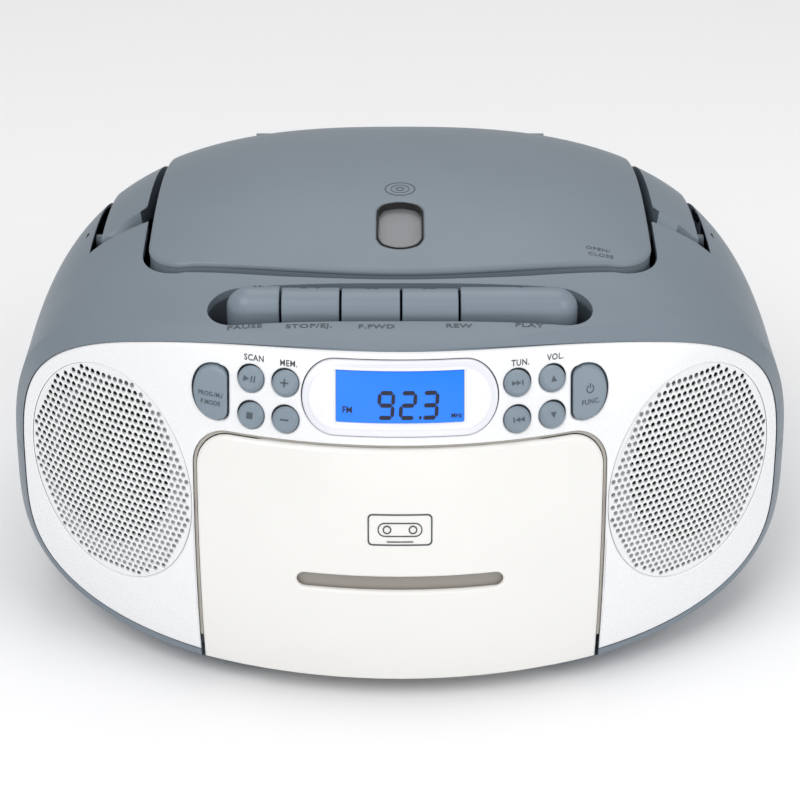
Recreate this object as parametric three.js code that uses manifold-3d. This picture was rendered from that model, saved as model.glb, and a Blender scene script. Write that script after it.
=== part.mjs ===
// Portable CD, radio and cassette player: two egg-shaped cabinet halves, a bowed front
// panel with two speakers and a tape door, a domed disc lid and a fold-back handle.
// Millimetres, +Z up, front towards -Y, origin on the table under the middle of the case.
import * as THREE from 'three';
import { mergeVertices } from 'three/addons/utils/BufferGeometryUtils.js';
import Module from 'manifold-3d';

// ---- driving dimensions -------------------------------------------------------------
const HALF_WIDTH = 141.5;     // widest point of the case
const FRONT_Y = -117.3;       // middle of the bowed front
const FRONT_RX = 176.4;       // bow of the front in plan
const FRONT_RZ = 157.1;       // bow of the front in side view
const FRONT_ZC = 40.1;        // height of the foremost point
const BACK_Y = 117.3;
const BACK_R = 620;           // slight bow of the back
const BACK_ROUND = 13;
const BASE_Z = 4;             // underside of the case, above its feet
const MID_Z = 62;             // height of the greatest width
const SEAM_Z = 64;            // joint of the two cabinet halves
const DECK_Y = -90;           // front end of the sloping key deck
const DECK_Z = 127;
const DECK_SLOPE = 0.2;
const DECK_END_Y = -50;
const DOME_Y = 17;
const DOME_Z = 148.2;
const DOME_K = 340;           // twice the radius of the dome's centre line
const LOWER_POWER = 4.2;      // squareness of the case below the middle
const BEVEL = 4;              // depth of the bevel round the front panel
const WALL = 2.8;
const GAP = 0.35;             // gap between neighbouring parts

const PANEL_HALF = 137.2;
const PANEL_TOP = 63.9;       // above MID_Z
const PANEL_BOTTOM = 51.4;    // below MID_Z
const PANEL_POWER = 3.1;
const PANEL_T = 2.5;

const GRILLE_X = 102.3;
const GRILLE_Z = 71.5;
const GRILLE_R = 37.2;
const GRILLE_TILT = Math.asin(GRILLE_X / FRONT_RX);
const SPEAKER_R = 35.4;

const DOOR_HALF = 69.6;
const DOOR_TOP = 97.4;
const DOOR_BOTTOM = 8.6;
const DOOR_CORNER = 12;
const DOOR_WALL = 2.2;        // the door's rim
const DOOR_PIN_R = 2;
const DOOR_PIN_HOLE_R = 2.35;
const DOOR_BAY = { half: 71, top: 98.6, corner: 12.6 };
const DOOR_PIVOT = [-100, 12.5];      // y, z
const SLOT_HALF = 35.4;
const SLOT_Z = 50.5;
const SLOT_R = 2.8;

const DISPLAY_HALF = 33;
const DISPLAY_Z = 112.8;
const DISPLAY_R = 11.2;

const BUTTON_R = 4.5;
const BUTTON_X = [-50.4, -38.6, 39.5, 51.5];
const BUTTON_Z = [116, 105];

const KEY_Y = -66;            // middle key's centre line
const KEY_BOW = 1300;         // the row curves back by x squared over this
const KEY_Z = 130.5;
const KEY_R = 7;
const KEY_FOOT_Z = 119;
const KEY_PIVOT = [-44, 114];         // y, z
const KEY_PIN_R = 1.6;
const KEY_HUB_R = 3.6;
const KEY_LEVER = 3;          // half the width and height of a key's lever
const KEY_RECESS = { half: 66.6, radius: 10.5, y: -64.5 };
const KEY_SPANS = [
  ['pause_key', -59.8, -41.4],
  ['stop_eject_key', -40.6, -20.8],
  ['fast_forward_key', -20, 0],
  ['rewind_key', 0.8, 20],
  ['play_key', 20.8, 61.2],
];

const LID_LIFT = 2;           // how far the lid stands above the case
const LID_HALF = 90.5;
const LID_FRONT_Y = -50;
const LID_BACK_Y = 87.4;
const LID_T = 2.6;
const LID_GAP = 2.2;
const LID_PIVOT = [86, 130.5];        // y, z
const LID_CORNER = 17;
const LID_PIN_R = 2.6;
const LID_WINDOW = { y: -26.5, x: 8.2, r: 12.8 };   // middle, half width, half length
const DISC_Y = 20;
const DISC_POCKET_R = 62;
const WELL_Z = 128.4;          // top of the disc tray
const DISC_Z = 124;           // floor of the disc pocket

const HANDLE_IN = 94.2;
const HANDLE_OUT = 110.8;
const HANDLE_SLOT = 115.2;    // outer wall of the handle's channel
const HANDLE_FRONT_Y = -1;
const HANDLE_BAR_Y = 95;
const HANDLE_LOW = 99;        // lower edge of the folded bar, at the back
const HANDLE_T = 9.5;
const HANDLE_PIVOT = [17, 117];       // y, z
const HANDLE_PIN_R = 2.9;
const HANDLE_PIN_HOLE_R = 3.3;
const HANDLE_BOSS_R = 6.4;
const HANDLE_WELL_R = 22;     // round clearance in the case at the handle's pivots

const TURNTABLE_PROFILE = [[0, 125.2], [15, 125.2], [15, 126.8], [7.2, 126.8], [6.6, 129],
  [0, 129]];
const CLAMP_PROFILE = [[0, 133.2], [12.8, 133.2], [13.6, 135], [13.6, 137], [0, 137]];
const SLED_RAILS = [-10.5, 10.5];     // x of the sled's guide rods
const SLED_RAIL_Z = 115.4;
const SLED_RAIL_R = 1.2;
const SLED_BORE_R = 1.5;
const ANTENNA_X = -86;        // tilting pin
const ANTENNA_Y = 106.6;
const ANTENNA_Z = 83;
const ANTENNA_L = 158;
const ANTENNA_R = 3;          // outside of the fixed tube

const CHASSIS_Y = -82;        // front face of the tape drive's plate
const CAPSTAN_X = 29;
const CAPSTAN_Z = 80.5;
const ROLLER_Z = 93;          // pinch roller, 5 mm above where it plays
const ROLLER_R = 6;
const MOTOR_X = -38;
const MOTOR_Z = 78;
const BELT_Y = -68;
const FLYWHEEL_R = 15;
const PULLEY_R = 4.5;

const LCD_Z = 113.6;
const BATTERY_PIVOT = [111.6, 14.2];    // y, z
const BATTERY_PIN_R = 1.9;
const LEAF_SWEEP_R = 4.4;     // room that the battery door's lower edge turns in
const LEAF_END_SWEEP_R = 5;   // and at its ends, where the back curves away from the hinge

const FEET = [
  ['foot_front_left', -92, -66],
  ['foot_front_right', 92, -66],
  ['foot_rear_left', -84, 84],
  ['foot_rear_right', 84, 84],
  ['foot_front_centre', 0, -90],
];

const BAY = { half: 58, front: 60, bottom: 9.8, top: 62, mouth: 12 };
const CASSETTE = { half: 51.5, front: -99, back: -87.6, bottom: 20.5, top: 85.5 };
const REEL_X = 21.25;
const REEL_Z = 50.5;

// ---- looks --------------------------------------------------------------------------
const look = (colour, roughness, metalness = 0) =>
  new THREE.MeshStandardMaterial({ color: colour, roughness, metalness });
const BLUE_GREY = look(0x8796a2, 0.42);
const WHITE = look(0xf2f2ef, 0.3);
const DOOR_WHITE = look(0xefefeb, 0.3);
const LENS = look(0xdfe6ea, 0.1);
const BLACK = look(0x1c1d1f, 0.6);
const SMOKE = look(0x8d8880, 0.15);
const LCD = look(0x0a78ff, 0.3);
const STEEL = look(0xb9bbbd, 0.35, 1);
const BRASS = look(0xc8a45a, 0.35, 1);
const BOARD = look(0x2f6b3c, 0.5);
const RUBBER = look(0x202020, 0.9);
const PAPER = look(0x2b2a29, 0.95);

// ---- solids -------------------------------------------------------------------------
const wasm = await Module();
wasm.setup();

function solid(geometry) {
  let flat = geometry.index ? geometry : mergeVertices(geometry);
  flat.deleteAttribute('normal');
  flat.deleteAttribute('uv');
  flat = mergeVertices(flat, 1e-4);
  return new wasm.Manifold(new wasm.Mesh({
    numProp: 3,
    vertProperties: new Float32Array(flat.attributes.position.array),
    triVerts: new Uint32Array(flat.index.array),
  }));
}

function mesh(name, body, material) {
  const data = body.getMesh();
  const geometry = new THREE.BufferGeometry();
  geometry.setAttribute('position', new THREE.BufferAttribute(data.vertProperties, 3));
  geometry.setIndex(new THREE.BufferAttribute(data.triVerts, 1));
  geometry.computeVertexNormals();
  const result = new THREE.Mesh(geometry, material);
  result.name = name;
  return result;
}

const joined = (...bodies) => bodies.reduce((whole, body) => whole.add(body));
const cut = (body, ...tools) => tools.reduce((rest, tool) => rest.subtract(tool), body);

// The main body of a cut piece, without the crumbs that the cut leaves.
function largest(body) {
  const pieces = body.decompose().map((piece) => [piece.volume(), piece]);
  return pieces.sort((a, b) => b[0] - a[0])[0][1];
}

// A box from its lowest and highest x, y and z.
function box(x0, x1, y0, y1, z0, z1) {
  const geometry = new THREE.BoxGeometry(x1 - x0, y1 - y0, z1 - z0);
  geometry.translate((x0 + x1) / 2, (y0 + y1) / 2, (z0 + z1) / 2);
  return solid(geometry);
}

// A turned part: profile points [radius, along], both ends on the axis, turned about
// `direction` from `origin`.
function turned(profile, origin, direction, sides = 24) {
  const points = profile.map(([r, a]) => new THREE.Vector2(r, a));
  const geometry = new THREE.LatheGeometry(points, sides);
  const turn = new THREE.Quaternion().setFromUnitVectors(
    new THREE.Vector3(0, 1, 0), new THREE.Vector3(...direction).normalize());
  geometry.applyQuaternion(turn);
  geometry.translate(...origin);
  return solid(geometry);
}

const rod = (radius, length, origin, direction, sides = 20) =>
  turned([[0, 0], [radius, 0], [radius, length], [0, length]], origin, direction, sides);

// A ring or tube: outer and inner radius over a length.
function tube(outer, inner, length, origin, direction, sides = 24) {
  const profile = [[inner, 0], [outer, 0], [outer, length], [inner, length], [inner, 0]];
  return turned(profile, origin, direction, sides);
}

// A box whose x limits may come in either order.
const between = (xa, xb, y0, y1, z0, z1) => box(Math.min(xa, xb), Math.max(xa, xb), y0, y1, z0, z1);

// An outline in x and z pushed through from y0 to y1.
function acrossY(outline, y0, y1) {
  const geometry = new THREE.ExtrudeGeometry(new THREE.Shape(outline),
    { depth: y1 - y0, bevelEnabled: false });
  geometry.rotateX(Math.PI / 2);
  geometry.translate(0, y1, 0);
  return solid(geometry);
}

// An outline in x and y raised from z0 to z1.
function upZ(outline, z0, z1) {
  const geometry = new THREE.ExtrudeGeometry(new THREE.Shape(outline),
    { depth: z1 - z0, bevelEnabled: false });
  geometry.translate(0, 0, z0);
  return solid(geometry);
}

// ---- case surfaces ------------------------------------------------------------------
const frontAt = (x, z) => FRONT_Y
  + FRONT_RX - Math.sqrt(FRONT_RX ** 2 - x * x)
  + FRONT_RZ - Math.sqrt(FRONT_RZ ** 2 - (z - FRONT_ZC) ** 2);

const frontNormal = (x, z) => new THREE.Vector3(
  x / Math.sqrt(FRONT_RX ** 2 - x * x), -1,
  (z - FRONT_ZC) / Math.sqrt(FRONT_RZ ** 2 - (z - FRONT_ZC) ** 2)).normalize();

const backAt = (x, z) => BACK_Y - (x * x + (z - MID_Z) ** 2) / (2 * BACK_R);

// Half the width narrows towards the back.
function halfWidth(y) {
  const t = Math.min(Math.max((y + 33) / 178.5, 0), 0.99);
  return HALF_WIDTH * (1 - t ** 2.87) ** (1 / 2.87);
}

const topLine = (y) => (y < DECK_END_Y
  ? DECK_Z + (y - DECK_Y) * DECK_SLOPE
  : DOME_Z - (y - DOME_Y) ** 2 / DOME_K);

const upperPower = (y) => THREE.MathUtils.mapLinear(
  THREE.MathUtils.clamp(y, -90, -20), -90, -20, 3.05, 2.6);

const bent = (value, power) => Math.sign(value) * Math.abs(value) ** (2 / power);

// A point of the case's cross-section at y, `inset` inside it.
function section(c, s, y, inset) {
  const top = s >= 0;
  const height = (top ? topLine(y) - MID_Z : MID_Z - BASE_Z) - inset;
  const power = top ? upperPower(y) : LOWER_POWER;
  return [(halfWidth(y) - inset) * bent(c, power), MID_Z + height * bent(s, power)];
}

// The closed body of the case, `inset` inside its skin. Rows of a sphere are laid over
// the back face, its rounded edge, the sides, the front bevel and the front face.
function egg({ inset = 0, front = 0, back = 0, bevel = BEVEL, around = 36, along = 6 }) {
  const rows = [[0, 1, BACK_ROUND, 0], [0.55, 1, BACK_ROUND, 0]];
  for (const angle of [90, 60, 30]) {
    const a = THREE.MathUtils.degToRad(angle);
    rows.push([1, 1, BACK_ROUND * (1 - Math.cos(a)), BACK_ROUND * (1 - Math.sin(a))]);
  }
  for (let i = along; i >= 0; i -= 1) rows.push([1, i / along, 0, BACK_ROUND]);
  rows.push([1, -1, bevel * 0.9, 0], [0.7, -1, bevel * 0.9, 0], [0.35, -1, bevel * 0.9, 0]);
  rows.push([0, -1, 0, 0]);
  const geometry = new THREE.SphereGeometry(1, around, rows.length - 1);
  const position = geometry.attributes.position;
  rows.forEach(([reach, f, shrink, fromBack], row) => {
    for (let column = 0; column <= around; column += 1) {
      const angle = (column % around) * 2 * Math.PI / around;
      const c = -Math.cos(angle);
      const s = Math.sin(angle);
      let y = f < 0 ? FRONT_Y : THREE.MathUtils.lerp(FRONT_Y, BACK_Y, f);
      let x = 0;
      let z = MID_Z;
      for (let pass = 0; pass < 8; pass += 1) {
        const [sx, sz] = section(c, s, y, inset + shrink);
        x = sx * reach;
        z = MID_Z + (sz - MID_Z) * reach;
        const start = frontAt(x, z) + front;
        const end = backAt(x, z) - back - fromBack;
        y = f < 0 ? start : THREE.MathUtils.lerp(start + bevel, end, f);
      }
      position.setXYZ(row * (around + 1) + column, x, y, z);
    }
  });
  return solid(geometry);
}

// A slab that follows the bowed front, from `near` to `far` behind its surface.
function frontLayer(near, far) {
  const width = 2 * HALF_WIDTH - 4;
  const geometry = new THREE.BoxGeometry(width, 2, 132, 12, 1, 6);
  geometry.translate(0, 0, 66);
  const position = geometry.attributes.position;
  for (let i = 0; i < position.count; i += 1) {
    const x = position.getX(i);
    const z = position.getZ(i);
    position.setY(i, frontAt(x, z) + (position.getY(i) < 0 ? near : far));
  }
  return solid(geometry);
}

const onFront = (outline, near, far) =>
  acrossY(outline, -150, -20).intersect(frontLayer(near, far));

// ---- outlines -----------------------------------------------------------------------
const point = (x, y) => new THREE.Vector2(x, y);

function panelOutline(inset) {
  const points = [];
  const steps = 44;
  for (let i = 0; i < steps; i += 1) {
    const angle = i * 2 * Math.PI / steps;
    const s = Math.sin(angle);
    const power = s >= 0 ? PANEL_POWER : LOWER_POWER;
    const height = (s >= 0 ? PANEL_TOP : PANEL_BOTTOM) - inset;
    points.push(point((PANEL_HALF - inset) * bent(Math.cos(angle), power),
      MID_Z + height * bent(s, power)));
  }
  return points;
}

function ellipse(cx, cz, rx, rz, sides = 28) {
  return Array.from({ length: sides }, (_, i) => {
    const angle = i * 2 * Math.PI / sides;
    return point(cx + rx * Math.cos(angle), cz + rz * Math.sin(angle));
  });
}

// A lying stadium: half length to the ends of its round caps.
function stadium(cx, cz, half, radius, sides = 8) {
  const points = [];
  for (const side of [1, -1]) {
    for (let i = 0; i <= sides; i += 1) {
      const angle = (i / sides - 0.5) * Math.PI;
      points.push(point(cx + side * (half - radius + radius * Math.cos(angle)),
        cz + side * radius * Math.sin(angle)));
    }
  }
  return points;
}

// A panel with round top corners and straight sides down to `bottom`.
function doorOutline(half, top, bottom, corner) {
  const points = [point(-half, bottom), point(half, bottom)];
  for (let i = 0; i <= 5; i += 1) {
    const angle = i * Math.PI / 10;
    points.push(point(half - corner + corner * Math.cos(angle),
      top - corner + corner * Math.sin(angle)));
  }
  return points.concat(points.slice(2).reverse().map((p) => point(-p.x, p.y)));
}

// A D: straight towards the middle of the front, curved outwards.
function dOutline(side, grow) {
  const points = [];
  for (let i = 0; i <= 10; i += 1) {
    const angle = (i / 10 - 0.5) * Math.PI;
    points.push(point(side * (62 + (8.4 + grow) * Math.abs(Math.cos(angle)) ** 0.8),
      110.2 + (8 + grow) * Math.sin(angle)));
  }
  points.push(point(side * (58.6 - grow), 116.6 + grow), point(side * (58.6 - grow), 103.8 - grow));
  return side > 0 ? points : points.reverse();
}

// The lid in plan: bowed front edge, straight sides, round corners.
function lidOutline(grow) {
  const front = [];
  const steps = 8;
  const half = LID_HALF + grow;
  const corner = LID_CORNER;
  for (let i = 0; i <= steps; i += 1) {
    const x = (half - corner) * (i / steps);
    front.push(point(x, LID_FRONT_Y - grow + x * x / 560));
  }
  const last = front[steps];
  for (let i = 1; i <= 6; i += 1) {
    const angle = i * Math.PI / 12;
    front.push(point(last.x + corner * Math.sin(angle), last.y + corner * (1 - Math.cos(angle))));
  }
  const back = [];
  for (let i = 6; i >= 0; i -= 1) {
    const angle = i * Math.PI / 12;
    back.push(point(half - corner + corner * Math.sin(angle),
      LID_BACK_Y + grow - 6 - corner * (1 - Math.cos(angle))));
  }
  back.push(point(half - 45, LID_BACK_Y + grow - 1.5), point(0, LID_BACK_Y + grow));
  const right = front.concat(back);
  const left = right.slice(1, -1).reverse().map((p) => point(-p.x, p.y));
  return right.concat(left);
}

// ---- shared bodies ------------------------------------------------------------------
const skin = egg({});
const inside = egg({ inset: WALL, front: 9, back: WALL, bevel: 0, around: 24, along: 5 });
const channelFloor = egg({ inset: HANDLE_T + 4, back: HANDLE_T + 4, bevel: 0, around: 24, along: 5 });
const channelShell = egg({ inset: HANDLE_T + 6, back: HANDLE_T + 6, bevel: 0, around: 24, along: 5 });

const panelSeat = joined(
  onFront(panelOutline(-GAP), -12, PANEL_T + GAP),
  onFront(panelOutline(1.4), PANEL_T, 9.4),
  onFront(panelOutline(5), PANEL_T, 36));
const doorBay = joined(
  acrossY(doorOutline(DOOR_BAY.half, DOOR_BAY.top, -2, DOOR_BAY.corner), -130, -99.4),
  acrossY(doorOutline(DOOR_BAY.half, DOOR_BAY.top, 7.4, DOOR_BAY.corner), -130, -90.5));

function both(make) {
  return joined(make(1), make(-1));
}

// Space swept by the folded handle's arms and bar.
function handleChannel(grow) {
  const arms = both((side) => between(side * (90.8 - grow), side * (HANDLE_SLOT + grow),
    HANDLE_FRONT_Y - 2 - grow, 130, HANDLE_LOW - 1.5, 170));
  return joined(arms, box(-100, 100, HANDLE_BAR_Y - 3 - grow, 130, HANDLE_LOW - 1.5, 170));
}

// ---- cabinet ------------------------------------------------------------------------
function topCabinet() {
  const above = box(-150, 150, -130, 130, SEAM_Z + 0.15, 170);
  const shell = skin.subtract(inside).intersect(above);
  const trough = cut(skin, channelShell).intersect(handleChannel(2)).intersect(above);
  const pivotCups = both((side) => rod(HANDLE_WELL_R + 2.4, 28.4,
    [side * 88.8, ...HANDLE_PIVOT], [side, 0, 0]).intersect(skin));
  const channel = cut(handleChannel(0), channelFloor);
  const pivotWells = both((side) => rod(HANDLE_WELL_R, 24.4,
    [side * 90.8, ...HANDLE_PIVOT], [side, 0, 0]));
  const pivotHoles = both((side) => rod(HANDLE_PIN_HOLE_R, 5,
    [side * 114, ...HANDLE_PIVOT], [side, 0, 0]));
  const groove = box(-106, 150, ANTENNA_Y - 4.6, 130, ANTENNA_Z - 6, ANTENNA_Z + 6);
  const grooveWalls = joined(box(-109, 112, ANTENNA_Y - 6.6, 130, ANTENNA_Z - 8, ANTENNA_Z + 8),
    box(ANTENNA_X - 7, ANTENNA_X + 7, ANTENNA_Y - 6.6, 130, ANTENNA_Z, ANTENNA_Z + 14),
    box(ANTENNA_X - 7, ANTENNA_X + 42, ANTENNA_Y - 6.6, 130, ANTENNA_Z, ANTENNA_Z + 11))
    .intersect(skin);
  const antennaNotch = joined(
    box(ANTENNA_X - 5, ANTENNA_X + 5, ANTENNA_Y - 4.6, 130, ANTENNA_Z, ANTENNA_Z + 12),
    box(ANTENNA_X - 5, ANTENNA_X + 40, ANTENNA_Y - 4.6, 130, ANTENNA_Z, ANTENNA_Z + 9));
  const antennaSocket = rod(4, 12, [ANTENNA_X - 24, ANTENNA_Y, ANTENNA_Z], [1, 0, 0], 16);
  const lidHole = upZ(lidOutline(LID_GAP), 90, 170);
  const lidRelief = box(-72, 72, 84, 92.5, 127, 170);
  const hingeSockets = both((side) => rod(5, 17, [side * 42.5, ...LID_PIVOT], [side, 0, 0], 16));
  const keyHole = upZ(stadium(0, KEY_RECESS.y, KEY_RECESS.half, KEY_RECESS.radius), 100, 170);
  const walls = joined(shell, trough, pivotCups, grooveWalls);
  return largest(cut(walls, groove, antennaNotch, antennaSocket, channel, pivotWells, pivotHoles, lidHole,
    lidRelief, hingeSockets, keyHole, panelSeat, doorBay));
}

function bottomCabinet() {
  const below = box(-150, 150, -130, 130, -5, SEAM_Z - 0.15);
  const shell = skin.subtract(inside).intersect(below);
  const ears = both((side) => joined(between(side * 40.2, side * 44.8, -103, -84, 9, 16.2),
    between(side * 40.2, side * 44.8, -90, -84, 5, 12)));
  const earHoles = both((side) => rod(DOOR_PIN_HOLE_R, 8, [side * 38, ...DOOR_PIVOT], [side, 0, 0], 12));
  const bayWalls = box(-BAY.half - 2, BAY.half + 2, BAY.front - 2, 125, BASE_Z + 1, SEAM_Z - 0.15)
    .intersect(skin);
  const bay = joined(box(-BAY.half, BAY.half, BAY.front, 104, BAY.bottom, BAY.top),
    box(-BAY.half, BAY.half, 100, 130, BAY.mouth, BAY.top));
  const bayMouth = box(-BAY.half - 2.4, BAY.half + 2.4, 90, 130, BAY.mouth - 0.5, BAY.top)
    .subtract(egg({ back: 3.4, around: 24, along: 5 }));
  const inletHole = box(66, 92, 90, 130, 22, 40);
  const jackHole = rod(3.2, 30, [-84, 95, 34], [0, 1, 0], 12);
  const feet = FEET.map(([, x, y]) => rod(6.4, 6, [x, y, -1], [0, 0, 1], 16));
  const leafEnd = BAY.half + 2.4;
  const leafSweep = joined(
    rod(LEAF_SWEEP_R, 2 * leafEnd, [-leafEnd, ...BATTERY_PIVOT], [1, 0, 0], 16),
    both((side) => rod(LEAF_END_SWEEP_R, 8, [side * leafEnd, ...BATTERY_PIVOT], [-side, 0, 0], 16)));
  return largest(cut(joined(shell, ears, bayWalls), panelSeat, doorBay, earHoles, bay, bayMouth,
    leafSweep, inletHole, jackHole, ...feet));
}

// ---- front --------------------------------------------------------------------------
function frontPanel() {
  const plate = onFront(panelOutline(0), 0, PANEL_T);
  const skirt = cut(onFront(panelOutline(1.8), PANEL_T - 0.4, 9),
    acrossY(panelOutline(4.2), -150, 0),
    box(-79, 79, -130, -60, 0, 34),
    both((side) => acrossY(dOutline(side, 2.2), -150, 0)));
  const grilles = both((side) => acrossY(ellipse(side * GRILLE_X, GRILLE_Z,
    GRILLE_R * Math.cos(GRILLE_TILT) + GAP, GRILLE_R + GAP), -150, -20));
  const display = acrossY(stadium(0, DISPLAY_Z, DISPLAY_HALF + GAP, DISPLAY_R + GAP), -150, -20);
  const buttonHoles = [];
  for (const x of BUTTON_X) {
    for (const z of BUTTON_Z) {
      const r = BUTTON_R + GAP;
      buttonHoles.push(alongNormal(x, z, [[0, -6], [r, -6], [r, 12], [0, 12]], 12));
    }
  }
  const dHoles = [1, -1].map((side) => acrossY(dOutline(side, GAP + 0.3), -150, -20));
  return cut(joined(plate, skirt), doorBay, grilles, display, ...buttonHoles, ...dHoles);
}

// A turned part standing on the front at x and z; the profile runs inwards.
function alongNormal(x, z, profile, sides) {
  const inward = frontNormal(x, z).negate();
  return turned(profile, [x, frontAt(x, z), z], inward.toArray(), sides);
}

function grille(side) {
  const rx = GRILLE_R * Math.cos(GRILLE_TILT);
  return onFront(ellipse(side * GRILLE_X, GRILLE_Z, rx, GRILLE_R), 0.7, 2.1);
}

function speakerPart(side, profile, sides) {
  const outward = frontNormal(GRILLE_X, GRILLE_Z);
  const inward = [-outward.x * side, -outward.y, -outward.z];
  return turned(profile, [side * GRILLE_X, frontAt(GRILLE_X, GRILLE_Z), GRILLE_Z], inward, sides);
}

const CONE_PROFILE = [[0, 19], [8, 16.6], [11, 19.4], [28, 9.4], [31.6, 9.4], [31.6, 10.6],
  [28.4, 10.6], [11.4, 21], [0, 21]];
const BASKET_PROFILE = [[32.4, 9], [SPEAKER_R, 9], [SPEAKER_R, 11.2], [32, 13], [19, 24],
  [19, 37], [0, 37], [0, 35], [12.6, 35], [12.6, 24], [30, 12.4], [32.4, 12.4], [32.4, 9]];

function roundButton(x, z) {
  const profile = [[0, -1.6], [3.7, -1.6], [BUTTON_R, -0.9], [BUTTON_R, 3.9], [5.9, 3.9],
    [5.9, 5.1], [0, 5.1]];
  return alongNormal(x, z, profile, 12);
}

function dButton(side) {
  return joined(onFront(dOutline(side, 0), -1.4, 4.6),
    onFront(dOutline(side, 1.1), 3.9, 5.1));
}

function cassetteDoor() {
  const face = onFront(doorOutline(DOOR_HALF, DOOR_TOP, DOOR_BOTTOM, DOOR_CORNER), -0.6, 1.9);
  const rim = cut(onFront(doorOutline(DOOR_HALF, DOOR_TOP, DOOR_BOTTOM, DOOR_CORNER), 1, 7.5),
    acrossY(doorOutline(DOOR_HALF - DOOR_WALL, DOOR_TOP - DOOR_WALL, DOOR_BOTTOM + DOOR_WALL,
      DOOR_CORNER - DOOR_WALL), -150, 0));
  const lugs = both((side) => joined(
    between(side * 46.4, side * 49.4, -108, -96, DOOR_BOTTOM, 16)
      .intersect(frontLayer(1, 40)),
    rod(DOOR_PIN_R, 9, [side * 47, ...DOOR_PIVOT], [-side, 0, 0], 12)));
  const earRoom = both((side) => between(side * 39.4, side * 45.9, -105, -80, 0, 18));
  const slot = acrossY(stadium(0, SLOT_Z, SLOT_HALF, SLOT_R), -150, 0);
  const rearCut = box(-80, 80, -98.6, 0, 60, 120);
  return cut(joined(face, cut(rim, rearCut, earRoom), lugs), slot);
}

function cassetteHolder() {
  const { half, front, back, bottom } = CASSETTE;
  const frame = cut(box(-half - 2.2, half + 2.2, front - 9, back + 1.6, bottom - 2.4, 80),
    box(-half, half, front - 10, back, bottom, 90),
    box(-half + 6, half - 6, back - 1, back + 3, bottom + 4, 90));
  return frame.intersect(onFront(doorOutline(66, 95, 8, 12), 2.4, 60));
}

// ---- keys and their deck ------------------------------------------------------------
function key(x0, x1, first, last) {
  const middle = (x0 + x1) / 2;
  const y = KEY_Y + middle * middle / KEY_BOW;
  const outline = [];
  for (let i = 0; i <= 8; i += 1) {
    const angle = i * Math.PI / 8;
    outline.push(point(y + KEY_R * Math.cos(angle), KEY_Z + KEY_R * 0.95 * Math.sin(angle)));
  }
  outline.push(point(y - KEY_R, KEY_FOOT_Z), point(y + KEY_R, KEY_FOOT_Z));
  const geometry = new THREE.ExtrudeGeometry(new THREE.Shape(outline),
    { depth: x1 - x0, bevelEnabled: false });
  geometry.rotateX(Math.PI / 2);
  geometry.rotateZ(Math.PI / 2);
  geometry.translate(x0, 0, 0);
  const cap = solid(geometry);
  let whole = cap;
  if (first || last) {
    const round = stadium(middle, y, (x1 - x0) / 2, KEY_R);
    const square = box(...(first ? [middle, x1] : [x0, middle]), y - 20, y + 20, 100, 150);
    whole = cap.intersect(joined(upZ(round, 100, 150), square));
  }
  const [left, right] = [middle - KEY_LEVER, middle + KEY_LEVER];
  const [pivotY, pivotZ] = KEY_PIVOT;
  const lever = box(left, right, y, pivotY, pivotZ - 2.5, pivotZ + 2.5);
  const post = box(left, right, y - KEY_LEVER, y + KEY_LEVER, pivotZ - 2.5, KEY_FOOT_Z + 1);
  const hub = rod(KEY_HUB_R, right - left, [left, ...KEY_PIVOT], [1, 0, 0], 12);
  const bore = rod(KEY_PIN_R, right - left + 2, [left - 1, ...KEY_PIVOT], [1, 0, 0], 10);
  return cut(joined(whole, lever, post, hub), bore);
}

// ---- disc side ----------------------------------------------------------------------
function discLid() {
  const raised = egg({ inset: -LID_LIFT, bevel: 0 });
  const under = egg({ inset: LID_T - LID_LIFT, bevel: 0, around: 24, along: 5 });
  const plate = upZ(lidOutline(0), 100, 170).intersect(raised.subtract(under));
  const skirt = cut(upZ(lidOutline(0), 100, 170), upZ(lidOutline(-2), 90, 180))
    .intersect(egg({ inset: 0, bevel: 0, around: 24, along: 5 }))
    .subtract(egg({ inset: 5, bevel: 0, around: 24, along: 5 }))
    .subtract(box(-100, 100, 70, 130, 100, 160));
  const arms = both((side) => joined(
    between(side * 44, side * 58, LID_PIVOT[0] - 5, LID_PIVOT[0], 128.5, 133),
    rod(LID_PIN_R, 14, [side * 44, ...LID_PIVOT], [side, 0, 0], 12)));
  const hub = tube(17, 14.2, 8, [0, DISC_Y, 140], [0, 0, 1]);
  const window = upZ(windowOutline(0), 100, 170);
  return cut(joined(plate, skirt, arms, hub), window);
}

// The lid's window, `grow` outside its opening: straight sides and bowed ends.
function windowOutline(grow) {
  const halfX = LID_WINDOW.x + grow;
  const halfY = LID_WINDOW.r + grow;
  const points = [];
  for (const side of [1, -1]) {
    for (let i = 0; i <= 6; i += 1) {
      const x = side * halfX * (1 - i / 3);
      points.push(point(x, LID_WINDOW.y + side * (halfY - 3 + 3 * (1 - (x / halfX) ** 2))));
    }
  }
  return points;
}

function lidWindow() {
  const band = egg({ inset: 1.2, bevel: 0, around: 24, along: 5 })
    .subtract(egg({ inset: 2.6, bevel: 0, around: 24, along: 5 }));
  return upZ(windowOutline(2), 100, 170).intersect(band);
}

function discWell() {
  const tray = upZ(lidOutline(0.6), 118, WELL_Z);
  const fit = egg({ inset: 8, bevel: 0, around: 24, along: 5 });
  const pocket = rod(DISC_POCKET_R, 10, [0, DISC_Y, DISC_Z], [0, 0, 1], 48);
  const spindleHole = rod(18, 20, [0, DISC_Y, 110], [0, 0, 1], 24);
  const sledSlot = box(-9, 9, DISC_Y - 56, DISC_Y - 10, 110, 130);
  const under = upZ(lidOutline(-3), 110, 121.4);
  const ribs = box(-80, 80, DISC_Y - 2, DISC_Y + 2, 118, 122);
  const clearKeys = box(-70, 70, -56, -36, 110, 125);
  return cut(joined(cut(tray.intersect(fit), under), ribs.intersect(fit)), pocket, spindleHole,
    sledSlot, clearKeys);
}

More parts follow.
